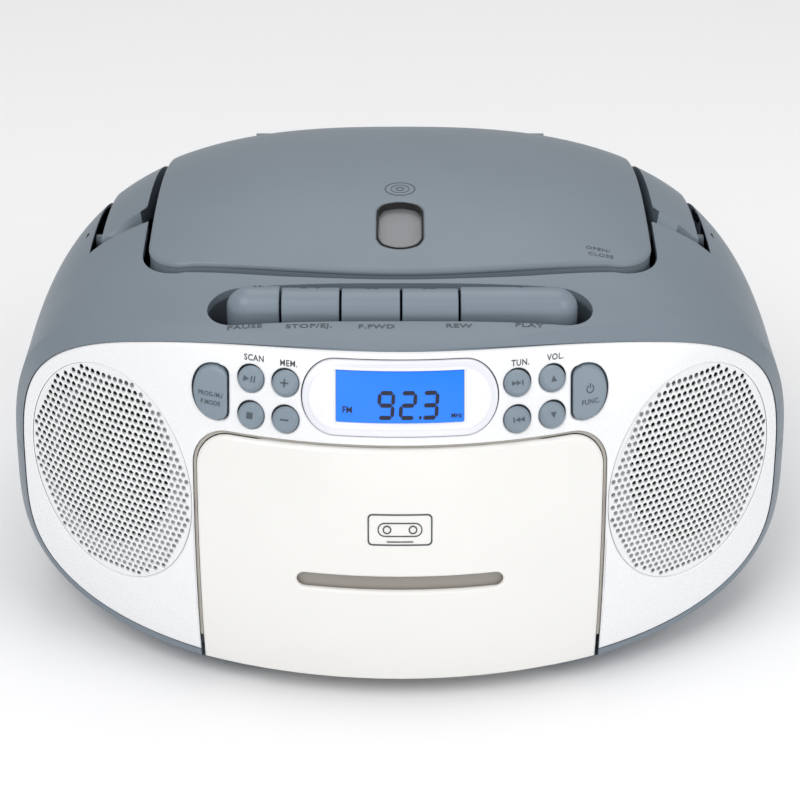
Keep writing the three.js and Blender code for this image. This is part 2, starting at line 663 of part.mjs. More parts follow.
// ---- handle -------------------------------------------------------------------------
function carryHandle() {
  const outer = egg({ inset: -0.6, back: -0.1, bevel: 0 });
  const inner = egg({ inset: HANDLE_T, back: HANDLE_T, bevel: 0, around: 24, along: 5 });
  const arms = both((side) => between(side * HANDLE_IN, side * HANDLE_OUT, HANDLE_FRONT_Y, 130,
    HANDLE_LOW, 170));
  const bar = box(-HANDLE_IN - 1, HANDLE_IN + 1, HANDLE_BAR_Y, 130, HANDLE_LOW, 170);
  const front = both((side) => {
    const wedge = box(-12, 12, -12, 0, -30, 30);
    return wedge.rotate([-48, 0, 0]).translate([side * 102.5, HANDLE_FRONT_Y + 1.5, 129]);
  });
  const bosses = both((side) => rod(HANDLE_BOSS_R, HANDLE_OUT - HANDLE_IN,
    [side * HANDLE_IN, ...HANDLE_PIVOT], [side, 0, 0], 16));
  const pins = both((side) => rod(HANDLE_PIN_R, HANDLE_OUT - HANDLE_IN + 6,
    [side * HANDLE_IN, ...HANDLE_PIVOT], [side, 0, 0], 16));
  const arch = cut(joined(arms, bar).intersect(outer.subtract(inner)), front);
  return largest(joined(arch, bosses, pins));
}

// ---- disc drive ---------------------------------------------------------------------
function turntable() {
  return cut(turned(TURNTABLE_PROFILE, [0, DISC_Y, 0], [0, 0, 1], 32),
    rod(1.5, 3, [0, DISC_Y, 124], [0, 0, 1], 12));
}

function laserSled() {
  const block = box(-13, 13, DISC_Y - 34, DISC_Y - 20, 113, 119.5);
  const lens = rod(3.4, 4.6, [0, DISC_Y - 27, 119], [0, 0, 1], 16);
  const rails = SLED_RAILS.map((x) => rod(SLED_BORE_R, 20, [x, DISC_Y - 36, SLED_RAIL_Z],
    [0, 1, 0], 12));
  return cut(joined(block, lens), ...rails);
}

// The drive's base plate, with the disc motor and the sled's two guide rods.
function driveFrame() {
  const plate = box(-19, 19, DISC_Y - 58, DISC_Y + 16, 105, 107);
  const cheeks = [-58, -16].map((dy) => box(-16, 16, DISC_Y + dy, DISC_Y + dy + 2, 106, 118));
  const rods = SLED_RAILS.map((x) => rod(SLED_RAIL_R, 42, [x, DISC_Y - 57, SLED_RAIL_Z],
    [0, 1, 0], 12));
  const motor = turned([[0, 106], [12, 106], [12, 118], [3, 118], [3, 119.4], [1.2, 119.4],
    [1.2, 126.4], [0, 126.4]], [0, DISC_Y, 0], [0, 0, 1], 20);
  return joined(plate, ...cheeks, ...rods, motor);
}

const discClamp = () => turned(CLAMP_PROFILE, [0, DISC_Y, 0], [0, 0, 1], 24);

// ---- tape drive ---------------------------------------------------------------------
// Everything turns about axes along Y; `towardsFront` profiles run from the back forwards.
const towardsFront = (profile, x, z, y, sides) => turned(profile, [x, y, z], [0, -1, 0], sides);

function cassetteChassis() {
  const plate = box(-63, 63, CHASSIS_Y, CHASSIS_Y + 2, 17, 101);
  const holes = [-REEL_X, REEL_X].map((x) => rod(3.4, 6, [x, CHASSIS_Y - 2, REEL_Z], [0, 1, 0], 12));
  const capstanHole = rod(2.2, 6, [CAPSTAN_X, CHASSIS_Y - 2, CAPSTAN_Z], [0, 1, 0], 12);
  const headSlot = box(-14, 14, CHASSIS_Y - 1, CHASSIS_Y + 3, 86, 99);
  const feet = both((side) => between(side * 44, side * 60, CHASSIS_Y, CHASSIS_Y + 14, 17, 20));
  return cut(joined(plate, feet), ...holes, capstanHole, headSlot);
}

function reel(side) {
  const shaft = towardsFront([[0, 0], [8, 0], [8, 2], [2.9, 2], [2.9, 6.4], [9, 6.4], [9, 9],
    [2.9, 9], [2.9, 18], [1.4, 20.5], [0, 20.5]], side * REEL_X, REEL_Z, CHASSIS_Y + 6, 16);
  const teeth = [0, 120, 240].map((angle) => box(-0.7, 0.7, CHASSIS_Y - 11, CHASSIS_Y - 2, 2, 4.2)
    .rotate([0, angle, 0]).translate([side * REEL_X, 0, REEL_Z]));
  return joined(shaft, ...teeth);
}

const flywheel = () => towardsFront([[0, 0], [FLYWHEEL_R, 0], [FLYWHEEL_R, 4.6], [4, 4.6],
  [4, 6.6], [1.1, 6.6], [1.1, 31], [0, 31]], CAPSTAN_X, CAPSTAN_Z, BELT_Y + 2.3, 24);

const motorPulley = () => cut(
  towardsFront([[0, 0], [PULLEY_R, 0], [PULLEY_R, 5], [0, 5]], MOTOR_X, MOTOR_Z, BELT_Y + 2.5, 16),
  towardsFront([[0, -1], [1.35, -1], [1.35, 7], [0, 7]], MOTOR_X, MOTOR_Z, BELT_Y + 2.5, 10));

const tapeMotor = () => towardsFront([[0, 0], [14, 0], [14, 16], [4, 16], [4, 17.4], [1, 17.4],
  [1, 24], [0, 24]], MOTOR_X, MOTOR_Z, BELT_Y + 21.5, 20);

// The belt's loop, `grow` outside the flywheel and the pulley.
function beltOutline(grow) {
  const dx = CAPSTAN_X - MOTOR_X;
  const dz = CAPSTAN_Z - MOTOR_Z;
  const lean = Math.asin((FLYWHEEL_R - PULLEY_R) / Math.hypot(dx, dz));
  const heading = Math.atan2(dz, dx);
  const arc = (x, z, r, from, to, steps) => Array.from({ length: steps + 1 }, (_, i) => {
    const angle = from + (to - from) * i / steps;
    return point(x + r * Math.cos(angle), z + r * Math.sin(angle));
  });
  const right = Math.PI / 2 + lean;
  return [
    ...arc(CAPSTAN_X, CAPSTAN_Z, FLYWHEEL_R + grow, heading - right, heading + right, 16),
    ...arc(MOTOR_X, MOTOR_Z, PULLEY_R + grow, heading + right, heading - right + 2 * Math.PI, 8)];
}

const driveBelt = () => acrossY(beltOutline(1.2), BELT_Y - 0.8, BELT_Y + 0.8)
  .subtract(acrossY(beltOutline(0.4), BELT_Y - 2, BELT_Y + 2));

function headBase() {
  const plate = box(-37, 38, CHASSIS_Y - 2.2, CHASSIS_Y - 0.6, 88, 101);
  const head = box(-7.5, 7.5, CHASSIS_Y - 15, CHASSIS_Y - 2, 88, 97.5);
  const nose = rod(4, 12, [0, CHASSIS_Y - 14.5, 88.5], [0, 1, 0], 16);
  const pin = rod(1, 15, [CAPSTAN_X, CHASSIS_Y - 16, ROLLER_Z], [0, 1, 0], 10);
  return joined(plate, head, nose, pin);
}

const pinchRoller = () => tube(ROLLER_R, 1.3, 9, [CAPSTAN_X, CHASSIS_Y - 12.5, ROLLER_Z],
  [0, 1, 0], 20);

// ---- electronics --------------------------------------------------------------------
const tilted = (body, x, z, depth) => body
  .rotate([-THREE.MathUtils.radToDeg(Math.asin((z - FRONT_ZC) / FRONT_RZ)), 0, 0])
  .translate([x, frontAt(x, z) + depth, z]);

const lcdModule = () => tilted(box(-24, 24, 0, 4, -9.6, 9.6), 0, LCD_Z, 4.4);

function controlBoard() {
  const board = box(-70, 70, 0, 1.6, -8.6, 8.6);
  const parts = [-60, -44, 44, 60].map((x) => box(x - 3, x + 3, 1.5, 5, -3, 3));
  return tilted(joined(board, ...parts), 0, 110, 22);
}

function mainBoard() {
  const board = box(-62, 62, -40, 52, 70, 71.6);
  const heatSink = joined(box(-50, -20, 38, 41, 71, 92),
    ...[0, 1, 2, 3].map((i) => box(-48 + i * 8, -46 + i * 8, 40, 47, 71, 92)));
  const cans = [[-5, 35], [12, 35], [28, 30]].map(([x, y]) => rod(5, 17, [x, y, 71], [0, 0, 1], 12));
  const chips = [[-30, 0], [0, 0], [30, -10]].map(([x, y]) => box(x - 9, x + 9, y - 6, y + 6, 71, 74));
  return joined(board, heatSink, ...cans, ...chips);
}

function powerTransformer() {
  const core = box(67, 99, 22, 58, 14, 46);
  const winding = box(70, 96, 16, 64, 19, 41);
  const feet = box(63, 103, 34, 46, 12.6, 14.5);
  return joined(core, winding, feet);
}

// A figure-of-eight mains socket.
function mainsInlet() {
  const bodyBlock = box(67, 91, 90, 110.6, 23, 39);
  const [cx, cz] = [79, 31];
  const mouth = acrossY(stadium(cx, cz, 8.6, 4.6), 98, 120);
  const pins = [-4, 4].map((dx) => rod(1.1, 12, [cx + dx, 97, cz], [0, 1, 0], 10));
  return joined(cut(bodyBlock, mouth), ...pins);
}

// ---- batteries ----------------------------------------------------------------------
function batteryDoor() {
  const { half, mouth, top } = BAY;
  const leaf = skin.subtract(egg({ back: 3, around: 24, along: 5 }))
    .intersect(box(-half - 2, half + 2, 90, 130, mouth, top - 0.4));
  const barrel = rod(BATTERY_PIN_R, 2 * half - 8, [-half + 4, ...BATTERY_PIVOT], [1, 0, 0], 10);
  const latch = box(-9, 9, 110.5, 113.5, top - 7, top - 0.4);
  return largest(joined(leaf, barrel, latch));
}

function batteryContacts() {
  const { half, front } = BAY;
  const plate = box(-half + 0.4, -half + 1.2, front + 2, front + 43, 13, 57);
  const coils = [[front + 13, 22], [front + 13, 48], [front + 38, 22], [front + 38, 48]]
    .map(([y, z]) => turned([[0, 0], [7, 0], [4, 6], [0, 6]], [-half + 1, y, z], [1, 0, 0], 12));
  return joined(plate, ...coils);
}

// ---- antenna ------------------------------------------------------------------------
function antennaBase() {
  const barrel = rod(3.6, 8, [ANTENNA_X - 16, ANTENNA_Y, ANTENNA_Z], [1, 0, 0], 16);
  const fork = cut(box(ANTENNA_X - 9, ANTENNA_X + 3, ANTENNA_Y - 3, ANTENNA_Y + 3,
    ANTENNA_Z - 3.4, ANTENNA_Z + 3.4),
  box(ANTENNA_X - 5, ANTENNA_X + 4, ANTENNA_Y - 4, ANTENNA_Y + 4, ANTENNA_Z - 1.7, ANTENNA_Z + 1.7));
  const pin = rod(1, 6, [ANTENNA_X, ANTENNA_Y, ANTENNA_Z - 3], [0, 0, 1], 10);
  return joined(barrel, fork, pin);
}

function antennaTube() {
  const eye = cut(joined(
    rod(2.6, 2.6, [ANTENNA_X, ANTENNA_Y, ANTENNA_Z - 1.3], [0, 0, 1], 16),
    box(ANTENNA_X, ANTENNA_X + 7, ANTENNA_Y - 1.6, ANTENNA_Y + 1.6, ANTENNA_Z - 1.3, ANTENNA_Z + 1.3)),
  rod(1.35, 8, [ANTENNA_X, ANTENNA_Y, ANTENNA_Z - 4], [0, 0, 1], 12));
  return joined(eye, tube(ANTENNA_R, 2.2, ANTENNA_L, [ANTENNA_X + 6.5, ANTENNA_Y, ANTENNA_Z], [1, 0, 0], 16),
    rod(ANTENNA_R, 2, [ANTENNA_X + 5.6, ANTENNA_Y, ANTENNA_Z], [1, 0, 0], 16));
}

const antennaRod = () => joined(
  rod(1.8, ANTENNA_L, [ANTENNA_X + 9, ANTENNA_Y, ANTENNA_Z], [1, 0, 0], 12),
  rod(2.8, 6, [ANTENNA_X + 7.5 + ANTENNA_L, ANTENNA_Y, ANTENNA_Z], [1, 0, 0], 16));

// ---- assembly -----------------------------------------------------------------------
const group = new THREE.Group();
const place = (name, body, material) => group.add(mesh(name, body, material));

place('top_cabinet', topCabinet(), BLUE_GREY);
place('bottom_cabinet', bottomCabinet(), BLUE_GREY);
place('front_panel', frontPanel(), WHITE);
place('cassette_door', cassetteDoor(), DOOR_WHITE);
place('door_window', onFront(stadium(0, SLOT_Z, SLOT_HALF + 2, SLOT_R + 1.6), 2.3, 3.4), SMOKE);
place('cassette_holder', cassetteHolder(), BLACK);
place('display_lens', onFront(stadium(0, DISPLAY_Z, DISPLAY_HALF, DISPLAY_R), -0.5, 1.5), LENS);
place('lcd_module', lcdModule(), LCD);
place('control_board', controlBoard(), BOARD);

[['left', -1], ['right', 1]].forEach(([name, side]) => {
  place(`${name}_grille`, grille(side), WHITE);
  place(`${name}_speaker_basket`, speakerPart(side, BASKET_PROFILE, 20), STEEL);
  place(`${name}_speaker_cone`, speakerPart(side, CONE_PROFILE, 20), PAPER);
});

const BUTTON_NAMES = [
  ['play_pause_button', 'stop_button'],
  ['memory_up_button', 'memory_down_button'],
  ['tune_up_button', 'tune_down_button'],
  ['volume_up_button', 'volume_down_button'],
];
BUTTON_NAMES.forEach((column, i) => column.forEach((name, j) => {
  place(name, roundButton(BUTTON_X[i], BUTTON_Z[j]), BLUE_GREY);
}));
place('mode_button', dButton(-1), BLUE_GREY);
place('function_button', dButton(1), BLUE_GREY);

KEY_SPANS.forEach(([name, x0, x1], i) => {
  place(name, key(x0, x1, i === 0, i === KEY_SPANS.length - 1), BLUE_GREY);
});

place('cd_lid', discLid(), BLUE_GREY);
place('cd_lid_window', lidWindow(), LENS);
place('cd_well', discWell(), BLUE_GREY);
place('cd_turntable', turntable(), BLACK);
place('disc_clamp', discClamp(), BLACK);
place('cd_drive_frame', driveFrame(), STEEL);
place('laser_sled', laserSled(), BLACK);
place('carry_handle', carryHandle(), BLUE_GREY);

place('cassette_chassis', cassetteChassis(), STEEL);
place('left_reel', reel(-1), BLACK);
place('right_reel', reel(1), BLACK);
place('capstan_flywheel', flywheel(), BRASS);
place('head_base', headBase(), STEEL);
place('pinch_roller', pinchRoller(), RUBBER);
place('tape_motor', tapeMotor(), STEEL);
place('motor_pulley', motorPulley(), BRASS);
place('drive_belt', driveBelt(), RUBBER);

place('main_board', mainBoard(), BOARD);
place('power_transformer', powerTransformer(), STEEL);
place('mains_inlet', mainsInlet(), BLACK);
place('battery_door', batteryDoor(), BLUE_GREY);
place('battery_contacts', batteryContacts(), STEEL);
place('antenna_base', antennaBase(), BLACK);
place('antenna_tube', antennaTube(), STEEL);
place('antenna_rod', antennaRod(), STEEL);
FEET.forEach(([name, x, y]) => {
  place(name, rod(6, BASE_Z + 0.6, [x, y, 0], [0, 0, 1], 16), RUBBER);
});

export default group;
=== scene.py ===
"""Portable CD, radio and cassette player, laid out as a Blender add-on and run as a script."""
from math import acos, asin, cos, hypot, pi, radians, sin, sqrt

import bmesh
import bpy
from bpy.props import FloatProperty, FloatVectorProperty, IntProperty
from bpy.props import PointerProperty, StringProperty
from mathutils import Matrix, Vector


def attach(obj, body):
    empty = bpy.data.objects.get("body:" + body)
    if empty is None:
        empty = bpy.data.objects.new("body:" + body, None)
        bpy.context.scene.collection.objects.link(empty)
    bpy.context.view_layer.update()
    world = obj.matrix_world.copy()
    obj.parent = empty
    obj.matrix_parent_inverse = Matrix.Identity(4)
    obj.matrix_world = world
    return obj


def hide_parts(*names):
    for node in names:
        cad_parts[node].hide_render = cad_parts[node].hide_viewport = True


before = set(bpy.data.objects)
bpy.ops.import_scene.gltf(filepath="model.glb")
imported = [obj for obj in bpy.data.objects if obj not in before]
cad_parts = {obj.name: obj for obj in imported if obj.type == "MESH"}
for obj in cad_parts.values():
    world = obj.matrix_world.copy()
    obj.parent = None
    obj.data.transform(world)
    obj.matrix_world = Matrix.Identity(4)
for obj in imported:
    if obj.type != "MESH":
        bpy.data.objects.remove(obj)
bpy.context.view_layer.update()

bl_info = {
    "name": "Cassette Player",
    "version": (1, 0, 0),
    "blender": (4, 5, 0),
    "location": "View3D > Sidebar > Cassette Player",
    "description": "Builds the visual model of a portable CD, radio and cassette player",
    "category": "Object",
}

MM = 0.001

# ---- sizes shared with the solid model, in millimetres ------------------------------
HALF_WIDTH = 141.5
FRONT_Y, FRONT_RX, FRONT_RZ, FRONT_ZC = -117.3, 176.4, 157.1, 40.1
BACK_Y, BACK_R, BACK_ROUND = 117.3, 620, 13
BASE_Z, MID_Z, SEAM_Z = 4, 62, 64
DECK_Y, DECK_Z, DECK_SLOPE, DECK_END_Y = -90, 127, 0.2, -50
DOME_Y, DOME_Z, DOME_K = 17, 148.2, 340
LOWER_POWER = 4.2
BEVEL, WALL, GAP = 4, 2.8, 0.35

PANEL_HALF, PANEL_TOP, PANEL_BOTTOM, PANEL_POWER, PANEL_T = 137.2, 63.9, 51.4, 3.1, 2.5
GRILLE_X, GRILLE_Z, GRILLE_R = 102.3, 71.5, 37.2
BAY_HALF, BAY_TOP, BAY_CORNER = 71, 98.6, 12.6
DOOR_HALF, DOOR_TOP, DOOR_BOTTOM, DOOR_CORNER = 69.6, 97.4, 8.6, 12
DOOR_WALL, DOOR_PIN_R, DOOR_PIN_HOLE_R = 2.2, 2, 2.35
DOOR_PIVOT = (-100, 12.5)
SLOT_HALF, SLOT_Z, SLOT_R = 35.4, 50.5, 2.8
DISPLAY_HALF, DISPLAY_Z, DISPLAY_R = 33, 112.8, 11.2
BUTTON_R = 4.5
BUTTON_X = (-50.4, -38.6, 39.5, 51.5)
BUTTON_Z = (116, 105)

KEY_Y, KEY_BOW, KEY_Z, KEY_R, KEY_FOOT_Z = -66, 1300, 130.5, 7, 119
KEY_HUB_R, KEY_LEVER = 3.6, 3
KEY_RECESS = (-64.5, 66.6, 10.5)
KEY_PIVOT = (-44, 114)
KEY_SPANS = (("pause_key", -59.8, -41.4), ("stop_eject_key", -40.6, -20.8),
             ("fast_forward_key", -20, 0), ("rewind_key", 0.8, 20), ("play_key", 20.8, 61.2))

LID_LIFT, LID_HALF, LID_FRONT_Y, LID_BACK_Y, LID_T, LID_GAP = 2, 90.5, -50, 87.4, 2.6, 2.2
LID_PIVOT = (86, 130.5)
LID_WINDOW = (0, -26.5, 8.2, 12.8)
LID_PIN_R = 2.6
DISC_Y, DISC_POCKET_R, WELL_Z, DISC_Z = 20, 62, 128.4, 124

HANDLE_IN, HANDLE_OUT, HANDLE_SLOT = 94.2, 110.8, 115.2
WELL_IN, WELL_R = 90.8, 22
HANDLE_PIN_R, HANDLE_HOLE_R, HANDLE_BOSS_R = 2.9, 3.3, 6.4
HANDLE_FRONT_Y, HANDLE_BAR_Y, HANDLE_LOW, HANDLE_T = -1, 95, 99, 9.5
HANDLE_PIVOT = (17, 117)
ANTENNA_X, ANTENNA_Y, ANTENNA_Z, ANTENNA_L = -86, 106.6, 83, 158
BATTERY = {"half": 58, "front": 60, "bottom": 9.8, "top": 62, "mouth": 12}
BATTERY_PIVOT = (111.6, 14.2)
BATTERY_PIN_R, LEAF_SWEEP_R, LEAF_END_SWEEP_R = 1.9, 4.4, 5
CHASSIS_Y = -82
CAPSTAN_X, CAPSTAN_Z, ROLLER_Z, ROLLER_R = 29, 80.5, 93, 6
MOTOR_X, MOTOR_Z, BELT_Y, FLYWHEEL_R, PULLEY_R = -38, 78, -68, 15, 4.5
REEL_X, REEL_Z = 21.25, 50.5
FEET = (("foot_front_left", -92, -66), ("foot_front_right", 92, -66),
        ("foot_rear_left", -84, 84), ("foot_rear_right", 84, 84), ("foot_front_centre", 0, -90))


# ---- the case's surfaces ------------------------------------------------------------
def front_at(x, z):
    return (FRONT_Y + FRONT_RX - sqrt(max(FRONT_RX ** 2 - x * x, 1))
            + FRONT_RZ - sqrt(max(FRONT_RZ ** 2 - (z - FRONT_ZC) ** 2, 1)))


def front_normal(x, z):
    return Vector((x / sqrt(FRONT_RX ** 2 - x * x), -1,
                   (z - FRONT_ZC) / sqrt(FRONT_RZ ** 2 - (z - FRONT_ZC) ** 2))).normalized()


def back_at(x, z):
    return BACK_Y - (x * x + (z - MID_Z) ** 2) / (2 * BACK_R)


def half_width(y):
    t = min(max((y + 33) / 178.5, 0), 0.99)
    return HALF_WIDTH * (1 - t ** 2.87) ** (1 / 2.87)


def top_line(y):
    if y < DECK_END_Y:
        return DECK_Z + (y - DECK_Y) * DECK_SLOPE
    return DOME_Z - (y - DOME_Y) ** 2 / DOME_K


def upper_power(y):
    return 3.05 - 0.45 * (min(max(y, -90), -20) + 90) / 70


def bent(value, power):
    return (1 if value >= 0 else -1) * abs(value) ** (2 / power)


def section(c, s, y, inset):
    """A point of the case's cross-section at y, inset inside it."""
    top = s >= 0
    height = (top_line(y) - MID_Z if top else MID_Z - BASE_Z) - inset
    power = upper_power(y) if top else LOWER_POWER
    return (half_width(y) - inset) * bent(c, power), MID_Z + height * bent(s, power)


def top_at(x, y, lift=0):
    """Height of the case's top at x and y."""
    power = upper_power(y)
    across = min(abs(x) / (half_width(y) + lift), 0.999)
    return MID_Z + (top_line(y) - MID_Z + lift) * (1 - across ** power) ** (1 / power)


def on_front(u, v, depth):
    return u, front_at(u, v) + depth, v


def on_top(u, v, depth):
    return u, v, top_at(u, v) - depth


def on_lid(u, v, depth):
    return u, v, top_at(u, v, LID_LIFT) - depth


def flat_up(u, v, depth):
    return u, v, -depth


def facing(origin, normal):
    """A flat place at origin, turned to face along normal."""
    out = Vector(normal).normalized()
    across = Vector((0, 0, 1)).cross(out).normalized()
    up = out.cross(across)
    return lambda u, v, depth: Vector(origin) + across * u + up * v - out * depth


# ---- bmesh tools --------------------------------------------------------------------
def everything(bm):
    return bm.verts[:] + bm.edges[:] + bm.faces[:]


def box(x0, x1, y0, y1, z0, z1):
    bm = bmesh.new()
    bmesh.ops.create_cube(bm, size=1)
    bmesh.ops.scale(bm, vec=(abs(x1 - x0), y1 - y0, z1 - z0), verts=bm.verts)
    bmesh.ops.translate(bm, vec=((x0 + x1) / 2, (y0 + y1) / 2, (z0 + z1) / 2), verts=bm.verts)
    return bm


def beside_middle(side, near, far, *sizes):
    """A box between near and far from the middle, on the side given as 1 or -1."""
    return box(min(side * near, side * far), max(side * near, side * far), *sizes)


def aim(bm, origin, direction):
    """Turns a shape made along +Z so that it runs along direction from origin."""
    turn = Vector((0, 0, 1)).rotation_difference(Vector(direction).normalized())
    bmesh.ops.rotate(bm, verts=bm.verts, cent=(0, 0, 0), matrix=turn.to_matrix())
    bmesh.ops.translate(bm, vec=origin, verts=bm.verts)
    return bm


def rod(radius, length, origin, direction, sides=48):
    bm = bmesh.new()
    bmesh.ops.create_cone(bm, cap_ends=True, segments=sides, radius1=radius, radius2=radius,
                          depth=length, matrix=Matrix.Translation((0, 0, length / 2)))
    return aim(bm, origin, direction)


def turned(profile, origin, direction, sides=48):
    """A part turned on a lathe: radius and distance along the axis, from one end to the other."""
    bm = bmesh.new()
    points = [bm.verts.new((r, 0, a)) for r, a in profile]
    edges = [bm.edges.new(pair) for pair in zip(points, points[1:])]
    bmesh.ops.spin(bm, geom=points + edges, cent=(0, 0, 0), axis=(0, 0, 1), dvec=(0, 0, 0),
                   angle=2 * pi, steps=sides, use_merge=True)
    bmesh.ops.remove_doubles(bm, verts=bm.verts, dist=1e-4)
    bmesh.ops.recalc_face_normals(bm, faces=bm.faces)
    return aim(bm, origin, direction)


def eased(profile, radius, steps=3):
    """The profile with its corners rounded."""
    points = [profile[0]]
    for before, here, after in zip(profile, profile[1:], profile[2:]):
        b, h, a = Vector(before), Vector(here), Vector(after)
        reach = min(radius, (b - h).length * 0.45, (a - h).length * 0.45)
        start, end = h + (b - h).normalized() * reach, h + (a - h).normalized() * reach
        for i in range(steps + 1):
            t = i / steps
            points.append(tuple(start * (1 - t) ** 2 + h * 2 * t * (1 - t) + end * t * t))
    return points + [profile[-1]]


def holder(bm):
    mesh = bpy.data.meshes.new("work")
    bm.to_mesh(mesh)
    bm.free()
    obj = bpy.data.objects.new("work", mesh)
    bpy.context.scene.collection.objects.link(obj)
    return obj


def discard(*objects):
    for obj in objects:
        data = obj.data
        bpy.data.objects.remove(obj)
        (bpy.data.curves if isinstance(data, bpy.types.Curve) else bpy.data.meshes).remove(data)


def evaluated(obj):
    graph = bpy.context.evaluated_depsgraph_get()
    mesh = bpy.data.meshes.new_from_object(obj.evaluated_get(graph))
    bm = bmesh.new()
    bm.from_mesh(mesh)
    bpy.data.meshes.remove(mesh)
    return bm


def combine(base, tool, operation):
    first, second = holder(base), holder(tool)
    second.hide_render = True
    modifier = first.modifiers.new("combine", "BOOLEAN")
    modifier.operation = operation
    modifier.solver = "MANIFOLD"
    modifier.object = second
    result = evaluated(first)
    discard(first, second)
    if not result.faces:
        raise RuntimeError(f"nothing is left after {operation.lower()}")
    return result


def cut(base, *tools):
    for tool in tools:
        base = combine(base, tool, "DIFFERENCE")
    return base


def joined(base, *others):
    for other in others:
        base = combine(base, other, "UNION")
    return base


def common(base, *others):
    for other in others:
        base = combine(base, other, "INTERSECT")
    return base


def beside(base, *others):
    """The separate closed shapes in one mesh."""
    for other in others:
        mesh = bpy.data.meshes.new("work")
        other.to_mesh(mesh)
        other.free()
        base.from_mesh(mesh)
        bpy.data.meshes.remove(mesh)
    return base


def largest(bm):
    """The main closed shape of a cut piece, without the crumbs that a cut leaves."""
    left = set(bm.verts)
    groups = []
    while left:
        stack = [left.pop()]
        group = set(stack)
        while stack:
            for edge in stack.pop().link_edges:
                for vert in edge.verts:
                    if vert in left:
                        left.discard(vert)
                        group.add(vert)
                        stack.append(vert)
        groups.append(group)
    groups.sort(key=len)
    crumbs = [vert for group in groups[:-1] for vert in group]
    bmesh.ops.delete(bm, geom=crumbs, context="VERTS")
    return bm


def both(make):
    return beside(make(1), make(-1))


def plate(outline, near, far, place, holes=(), edge=0.0, steps=2, grid=6.0):
    """A plate with rounded edges, cut to outline and laid on one of the case's surfaces."""
    curve = bpy.data.curves.new("outline", "CURVE")
    curve.dimensions = "2D"
    curve.fill_mode = "BOTH"
    curve.extrude = max((far - near) / 2 - edge, 1e-4)
    curve.bevel_depth = edge
    curve.bevel_resolution = steps
    curve.offset = -edge
    for points in (outline, *holes):
        spline = curve.splines.new("POLY")
        spline.points.add(len(points) - 1)
        for target, (u, v) in zip(spline.points, points):
            target.co = (u, v, 0, 1)
        spline.use_cyclic_u = True
    obj = bpy.data.objects.new("outline", curve)
    bpy.context.scene.collection.objects.link(obj)
    bm = evaluated(obj)
    discard(obj)
    bmesh.ops.remove_doubles(bm, verts=bm.verts, dist=2e-3)
    if grid:
        for axis in range(2):
            low = min(vert.co[axis] for vert in bm.verts)
            high = max(vert.co[axis] for vert in bm.verts)
            count = int((high - low) / grid)
            for i in range(1, count + 1):
                at, normal = Vector((0, 0, 0)), Vector((0, 0, 0))
                at[axis], normal[axis] = low + (high - low) * i / (count + 1), 1
                bmesh.ops.bisect_plane(bm, geom=everything(bm), dist=1e-5, plane_co=at,
                                       plane_no=normal)
    middle = (near + far) / 2
    for vert in bm.verts:
        vert.co = place(vert.co.x, vert.co.y, middle - vert.co.z)
    bmesh.ops.recalc_face_normals(bm, faces=bm.faces)
    return bm


def prism(outline, axis, low, high):
    """A straight prism of an outline along Y (outline in x, z) or Z (outline in x, y)."""
    bm = bmesh.new()
    bmesh.ops.create_circle(bm, cap_ends=True, segments=len(outline), radius=1)
    bm.verts.ensure_lookup_table()
    for vert, (u, v) in zip(bm.verts, outline):
        vert.co = (u, low, v) if axis == "Y" else (u, v, low)
    made = bmesh.ops.extrude_face_region(bm, geom=bm.faces[:])["geom"]
    step = (0, high - low, 0) if axis == "Y" else (0, 0, high - low)
    bmesh.ops.translate(bm, vec=step,
                        verts=[item for item in made if isinstance(item, bmesh.types.BMVert)])
    bmesh.ops.recalc_face_normals(bm, faces=bm.faces)
    return bm


def body(inset=0.0, front=0.0, back=0.0, bevel=BEVEL, around=192, along=26):
    """The closed body of the case, inset inside its skin, laid over the rows of a sphere."""
    rows = [(0, 1, BACK_ROUND, 0), (0.3, 1, BACK_ROUND, 0), (0.6, 1, BACK_ROUND, 0),
            (0.85, 1, BACK_ROUND, 0)]
    for angle in range(90, 0, -15):
        a = radians(angle)
        rows.append((1, 1, BACK_ROUND * (1 - cos(a)), BACK_ROUND * (1 - sin(a))))
    rows += [(1, i / along, 0, BACK_ROUND) for i in range(along, -1, -1)]
    rows += [(reach, -1, bevel * 0.9, 0) for reach in (1, 0.85, 0.7, 0.5, 0.3, 0)]
    bm = bmesh.new()
    bmesh.ops.create_uvsphere(bm, u_segments=around, v_segments=len(rows) - 1, radius=1)
    for vert in bm.verts:
        row = round(acos(min(max(vert.co.z, -1), 1)) / pi * (len(rows) - 1))
        reach, f, shrink, from_back = rows[row]
        length = hypot(vert.co.x, vert.co.y) or 1
        c, s = vert.co.x / length, vert.co.y / length
        y = FRONT_Y if f < 0 else FRONT_Y + (BACK_Y - FRONT_Y) * f
        x = z = 0
        for _ in range(8):
            sx, sz = section(c, s, y, inset + shrink)
            x, z = sx * reach, MID_Z + (sz - MID_Z) * reach
            start = front_at(x, z) + front
            end = back_at(x, z) - back - from_back
            y = start if f < 0 else start + bevel + (end - start - bevel) * f
        vert.co = (x, y, z)
    bmesh.ops.recalc_face_normals(bm, faces=bm.faces)
    return bm


# ---- outlines -----------------------------------------------------------------------
def panel_outline(inset, steps=200):
    points = []
    for i in range(steps):
        angle = i * 2 * pi / steps
        s = sin(angle)
        power = PANEL_POWER if s >= 0 else LOWER_POWER
        height = (PANEL_TOP if s >= 0 else PANEL_BOTTOM) - inset
        points.append(((PANEL_HALF - inset) * bent(cos(angle), power),
                       MID_Z + height * bent(s, power)))
    return points


